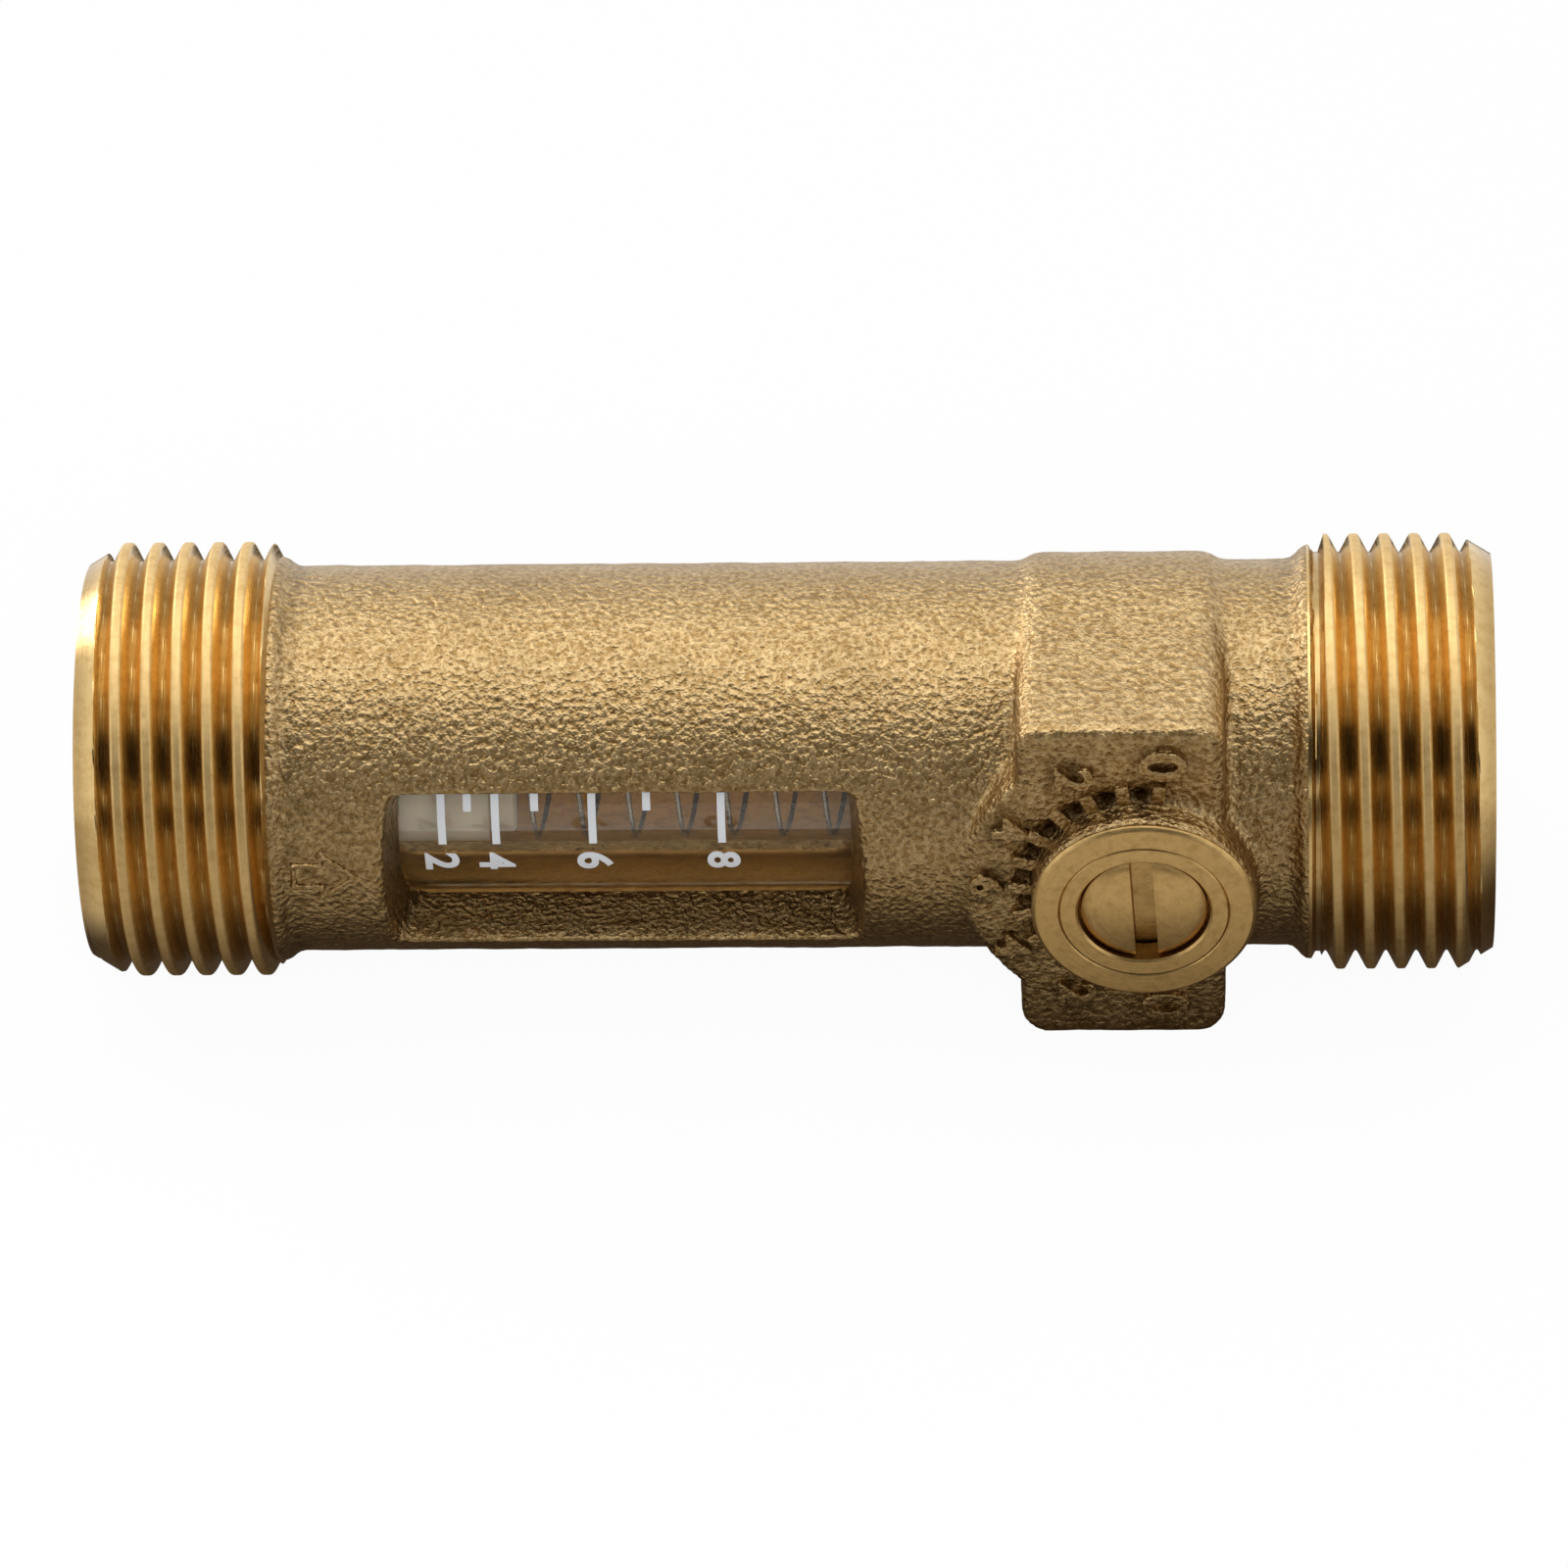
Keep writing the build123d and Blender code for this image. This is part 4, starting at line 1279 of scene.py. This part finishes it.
@dataclass
class Regulator:
    """The slotted stem and the gland ring round its head."""

    break_mm: float = 0.07

    def build_stem(self, material: bpy.types.Material) -> bpy.types.Object:
        """Break the edges of the stem's solid.

        Args:
            material: Its turned finish.

        Returns:
            The piece, which stands for the CAD stem.
        """
        piece = welded_copy("stem", "regulator_stem")
        shape = bmesh.new()
        shape.from_mesh(piece.data)
        bmesh.ops.dissolve_limit(
            shape, angle_limit=math.radians(0.6), verts=shape.verts, edges=shape.edges, use_dissolve_boundaries=False
        )
        shape.to_mesh(piece.data)
        shape.free()
        bevel = piece.modifiers.new("edges", "BEVEL")
        bevel.width = self.break_mm * MM
        bevel.segments = 2
        bevel.limit_method = "ANGLE"
        bevel.angle_limit = math.radians(35)
        bake_modifiers(piece)
        dress(piece, material)
        shade(piece, 25.0)
        return hand_over(piece, Body.REGULATOR, Slot.TURNED_BRASS, "stem")

    def build_gland_ring(self, material: bpy.types.Material) -> bpy.types.Object:
        """Turn the ring pressed into the boss over the stem's flange."""
        low, high = low_mm("gland_ring"), high_mm("gland_ring")
        outer, inner, top, floor = high.x - STEM_X, 5.0, low.y, high.y
        profile = (
            (floor, inner), (floor, outer), (top + 0.1, outer), (top, outer - 0.1),
            (top, inner + 0.16), (top + 0.16, inner),
        )
        piece = lathe("gland_ring_turned", profile, Axis.STEM, 256)
        dress(piece, material)
        return hand_over(piece, Body.VALVE, Slot.TURNED_BRASS, "gland_ring")


class Internals:
    """Inner pieces that keep their CAD shape."""

    def dress_all(self, turned: bpy.types.Material) -> None:
        """Give each CAD node its finish.

        Args:
            turned: Finish of the screwed brass rings.
        """
        rubber = SEAL_RUBBER.material()
        white = WHITE_MOULDING.material()
        seats = SEAT_PLASTIC.material()
        finishes = {
            "tube_inlet_o_ring": rubber, "tube_outlet_o_ring": rubber, "stem_o_ring_lower": rubber,
            "stem_o_ring_upper": rubber, "inlet_seat_o_ring": rubber, "outlet_seat_o_ring": rubber,
            "retainer_o_ring": rubber, "inlet_cage": white, "spring_stop": white, "thrust_washer": seats,
            "inlet_seat": seats, "outlet_seat": seats, "tube_retaining_ring": turned, "seat_retainer": turned,
            "metering_spindle": SPINDLE_STEEL.material(), "ball": CHROMED_BALL.material(),
        }
        for node, material in finishes.items():
            dress(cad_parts[node], material)
            LOG.info("%s: %s", node, material.name)


@dataclass
class Studio:
    """Floor, lamps, world and the photograph's camera."""

    floor_z: float = -16.62
    elevation: float = 41.856
    yaw: float = -2.486
    roll: float = -0.375
    distance: float = 778.449
    offset: Point = (-0.528, -2.232)
    target_x: float = 53.5
    focal_px: float = 10375.0
    picture_px: float = 1600.0
    sensor: float = 36.0
    ambient: float = 0.55
    softbox_power: float = 1.1

    def build_camera(self) -> None:
        """Place the camera where the photograph was taken."""
        e, yaw, roll = (math.radians(a) for a in (self.elevation, self.yaw, self.roll))
        back = Vector((0, -math.cos(e), math.sin(e)))
        right = Vector((1, 0, 0))
        up = back.cross(right)
        right_2 = right * math.cos(yaw) + back * math.sin(yaw)
        back_2 = -right * math.sin(yaw) + back * math.cos(yaw)
        right_3 = right_2 * math.cos(roll) + up * math.sin(roll)
        up_3 = -right_2 * math.sin(roll) + up * math.cos(roll)
        place = Vector((self.target_x, 0, 0)) + right_3 * self.offset[0] + up_3 * self.offset[1]
        place = (place + back_2 * self.distance) * MM
        data = bpy.data.cameras.new("photo_camera")
        data.sensor_fit = "HORIZONTAL"
        data.sensor_width = self.sensor
        data.lens = self.focal_px / self.picture_px * self.sensor
        data.clip_start = 0.01
        data.clip_end = 20
        camera = bpy.data.objects.new("photo_camera", data)
        bpy.context.scene.collection.objects.link(camera)
        turn = Matrix((right_3, up_3, back_2)).transposed().to_4x4()
        camera.matrix_world = Matrix.Translation(place) @ turn
        bpy.context.scene.camera = camera

    def seen(self, tree: bpy.types.NodeTree) -> bpy.types.NodeSocket:
        """True for camera, glossy and transmission rays."""
        rays = add_node(tree, "ShaderNodeLightPath").outputs
        either = add_node(
            tree, "ShaderNodeMath", {0: rays["Is Camera Ray"], 1: rays["Is Glossy Ray"]}, operation="MAXIMUM"
        ).outputs[0]
        return add_node(
            tree, "ShaderNodeMath", {0: either, 1: rays["Is Transmission Ray"]}, operation="MAXIMUM"
        ).outputs[0]

    def build_world(self) -> None:
        """Plain ambient light, and white where the background is seen."""
        world = bpy.data.worlds.new("studio")
        world.use_nodes = True
        tree = world.node_tree
        tree.nodes.clear()
        soft = add_node(tree, "ShaderNodeBackground", {"Color": (1, 1, 1, 1), "Strength": self.ambient})
        white = add_node(tree, "ShaderNodeBackground", {"Color": (1, 1, 1, 1), "Strength": 1.0})
        both = add_node(
            tree, "ShaderNodeMixShader", {0: self.seen(tree), 1: soft.outputs[0], 2: white.outputs[0]}
        )
        add_node(tree, "ShaderNodeOutputWorld", {"Surface": both.outputs[0]})
        bpy.context.scene.world = world

    def build_floor(self) -> None:
        """Pale floor that keeps a light shadow."""
        reach = 3000.0
        corners = [(-reach, -reach), (reach, -reach), (reach, reach), (-reach, reach)]
        floor = mesh_object("floor", np.array([(x, y, self.floor_z) for x, y in corners]), [(0, 1, 2, 3)])
        material = bpy.data.materials.new("pale_floor")
        material.use_nodes = True
        tree = material.node_tree
        tree.nodes.clear()
        paper = add_node(tree, "ShaderNodeBsdfDiffuse", {"Color": linear("#E8E8E6")})
        white = add_node(tree, "ShaderNodeEmission", {"Color": (1, 1, 1, 1), "Strength": 1.0})
        share = add_node(
            tree, "ShaderNodeMath", {0: self.seen(tree), 1: 0.95}, operation="MULTIPLY"
        ).outputs[0]
        both = add_node(tree, "ShaderNodeMixShader", {0: share, 1: paper.outputs[0], 2: white.outputs[0]})
        add_node(tree, "ShaderNodeOutputMaterial", {"Surface": both.outputs[0]})
        dress(floor, material)

    def add_softbox(
        self, name: str, place: tuple, aim: tuple, size: Point, power: float, mirrored: bool = True
    ) -> None:
        """Add one area lamp.

        Args:
            name: The lamp's name.
            place: Where it hangs, in millimetres.
            aim: What it faces, in millimetres.
            size: Its width and height in millimetres.
            power: Its power in watts.
            mirrored: False for a fill that polished surfaces do not show.
        """
        data = bpy.data.lights.new(name, "AREA")
        data.shape = "RECTANGLE"
        data.size, data.size_y = size[0] * MM, size[1] * MM
        data.energy = power
        lamp = bpy.data.objects.new(name, data)
        bpy.context.scene.collection.objects.link(lamp)
        there = Vector(place) * MM
        turn = (Vector(aim) * MM - there).to_track_quat("-Z", "Y").to_matrix().to_4x4()
        lamp.matrix_world = Matrix.Translation(there) @ turn
        lamp.visible_glossy = mirrored

    def add_flag(self, name: str, place: tuple, aim: tuple, size: Point, colour: str) -> None:
        """Add a dark card that only the metal and the glass reflect.

        Args:
            name: The card's name.
            place: Its middle, in millimetres.
            aim: What it faces, in millimetres.
            size: Its width and height in millimetres.
            colour: Its colour.
        """
        half_w, half_h = size[0] / 2, size[1] / 2
        there = Vector(place)
        turn = (Vector(aim) - there).to_track_quat("-Z", "Y").to_matrix()
        corners = [(-half_w, -half_h), (half_w, -half_h), (half_w, half_h), (-half_w, half_h)]
        points = np.array([there + turn @ Vector((x, y, 0)) for x, y in corners])
        card = mesh_object(name, points, [(0, 1, 2, 3)])
        material = bpy.data.materials.new(name)
        material.use_nodes = True
        tree = material.node_tree
        tree.nodes.clear()
        glow = add_node(tree, "ShaderNodeEmission", {"Color": linear(colour), "Strength": 1.0})
        add_node(tree, "ShaderNodeOutputMaterial", {"Surface": glow.outputs[0]})
        dress(card, material)
        card.visible_camera = False
        card.visible_diffuse = False
        card.visible_shadow = False
        card.visible_transmission = False

    def build_shade(self) -> None:
        """Lay the object's own soft shade on the floor, for the metal's reflections alone."""
        reach_x, near, far, level = 160.0, 60.0, -420.0, self.floor_z + 0.05
        corners = [(-reach_x, far), (107 + reach_x, far), (107 + reach_x, near), (-reach_x, near)]
        card = mesh_object("floor_shade", np.array([(x, y, level) for x, y in corners]), [(0, 1, 2, 3)])
        material = bpy.data.materials.new("floor_shade")
        material.use_nodes = True
        tree = material.node_tree
        tree.nodes.clear()
        place = add_node(tree, "ShaderNodeTexCoord").outputs["Object"]
        run = add_node(
            tree, "ShaderNodeVectorMath", {0: place, 1: (-0.06, -1.0, 0.0)}, operation="DOT_PRODUCT"
        ).outputs["Value"]
        split = add_node(tree, "ShaderNodeSeparateXYZ", {"Vector": place}).outputs
        left = add_node(tree, "ShaderNodeMath", {0: split["X"], 1: -3.0}, operation="MULTIPLY").outputs[0]
        widest = add_node(tree, "ShaderNodeMath", {0: run, 1: left}, operation="MAXIMUM").outputs[0]
        share = add_node(
            tree, "ShaderNodeMapRange",
            {"Value": widest, "From Min": 12 * MM, "From Max": 40 * MM}, interpolation_type="SMOOTHSTEP",
        ).outputs["Result"]
        colour = add_node(
            tree, "ShaderNodeMix", {0: share, 6: linear("#4A4036"), 7: linear("#CFCAC2")}, data_type="RGBA"
        ).outputs[2]
        glow = add_node(tree, "ShaderNodeEmission", {"Color": colour, "Strength": 1.0})
        add_node(tree, "ShaderNodeOutputMaterial", {"Surface": glow.outputs[0]})
        dress(card, material)
        card.visible_camera = False
        card.visible_diffuse = False
        card.visible_shadow = False
        card.visible_transmission = False

    def build_lights(self) -> None:
        """Hang the softbox and set the dark cards."""
        middle = (53.5, 0, 0)
        self.add_softbox("top_softbox", (60, 120, 520), middle, (620, 460), self.softbox_power)
        self.add_softbox("left_softbox", (-420, 430, 260), middle, (260, 300), 1.3)
        self.add_softbox("front_fill", (53.5, -420, 330), middle, (300, 200), 1.35, mirrored=False)
        self.build_shade()
        self.add_flag("front_flag", (53.5, -620, 560), middle, (1500, 520), "#1A1714")
        self.add_flag("low_flag", (53.5, -600, -10), middle, (1500, 380), "#5B5246")

    def build(self) -> None:
        """Build the whole studio."""
        self.build_camera()
        self.build_world()
        self.build_floor()
        self.build_lights()
        bpy.context.scene.view_settings.view_transform = "Standard"


INLET_THREAD = PipeThread(
    name="inlet_thread",
    blank=((0.0, 15.05), (2.6, 16.62), (13.95, 16.62), (14.62, 15.35)),
    inner=((14.62, 12.0), (0.8, 12.0), (0.0, 12.8)),
    crest_x=2.81, cut_from=0.0, cut_to=14.62, fade_from=14.1, fade_to=14.9, seed=11,
)
OUTLET_THREAD = PipeThread(
    name="outlet_thread",
    blank=(
        (92.87, 15.55), (92.95, 15.8), (93.2, 15.8), (93.5, 15.25), (93.85, 15.25), (94.3, 16.62),
        (104.4, 16.62), (107.0, 15.05),
    ),
    inner=((107.0, 12.8), (106.2, 12.0), (92.87, 12.0)),
    crest_x=94.27, cut_from=93.2, cut_to=107.0, fade_from=200.0, fade_to=201.0, seed=23,
)


def main() -> None:
    """Build the valve's pieces and the studio round them."""
    logging.basicConfig(level=logging.INFO, format="%(name)s: %(message)s")
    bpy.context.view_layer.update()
    cast = CastBrass().material()
    pipe_turned = TurnedBrass(bright="#E0C084", dull="#C09A5C", crest_roughness=0.5, root_share=0.35).material()
    stem_turned = TurnedBrass(name="faced_brass", axis=Axis.STEM, bright="#D6B274", dull="#A8854C",
                              roughness=0.3, mark_mm=0.22, mark_depth_mm=0.03).material()
    bored = TurnedBrass(name="bored_brass", lengthwise=True, bright="#E0AF64", dull="#8C5F2C", mark_mm=0.5,
                        mark_length_mm=16.0, mark_depth_mm=0.03, roughness=0.4, metallic=0.5).material()
    casting = Casting()
    casting.build_skin(cast, bored)
    casting.build_boss_face(stem_turned)
    casting.build_numerals(cast)
    casting.build_ticks(cast)
    casting.build_arrow(cast)
    for thread in (INLET_THREAD, OUTLET_THREAD):
        thread.build(pipe_turned)
    tube = SightTube()
    tube.build_tube(ClearPolymer().material())
    tube.build_scale(SCALE_INK.material())
    indicator = Indicator()
    indicator.build_float(FLOAT_SLEEVE.material())
    indicator.build_spring(SPRING_WIRE.material())
    regulator = Regulator()
    regulator.build_stem(stem_turned)
    regulator.build_gland_ring(stem_turned)
    Internals().dress_all(pipe_turned)
    Studio().build()


if __name__ == "__main__":
    main()
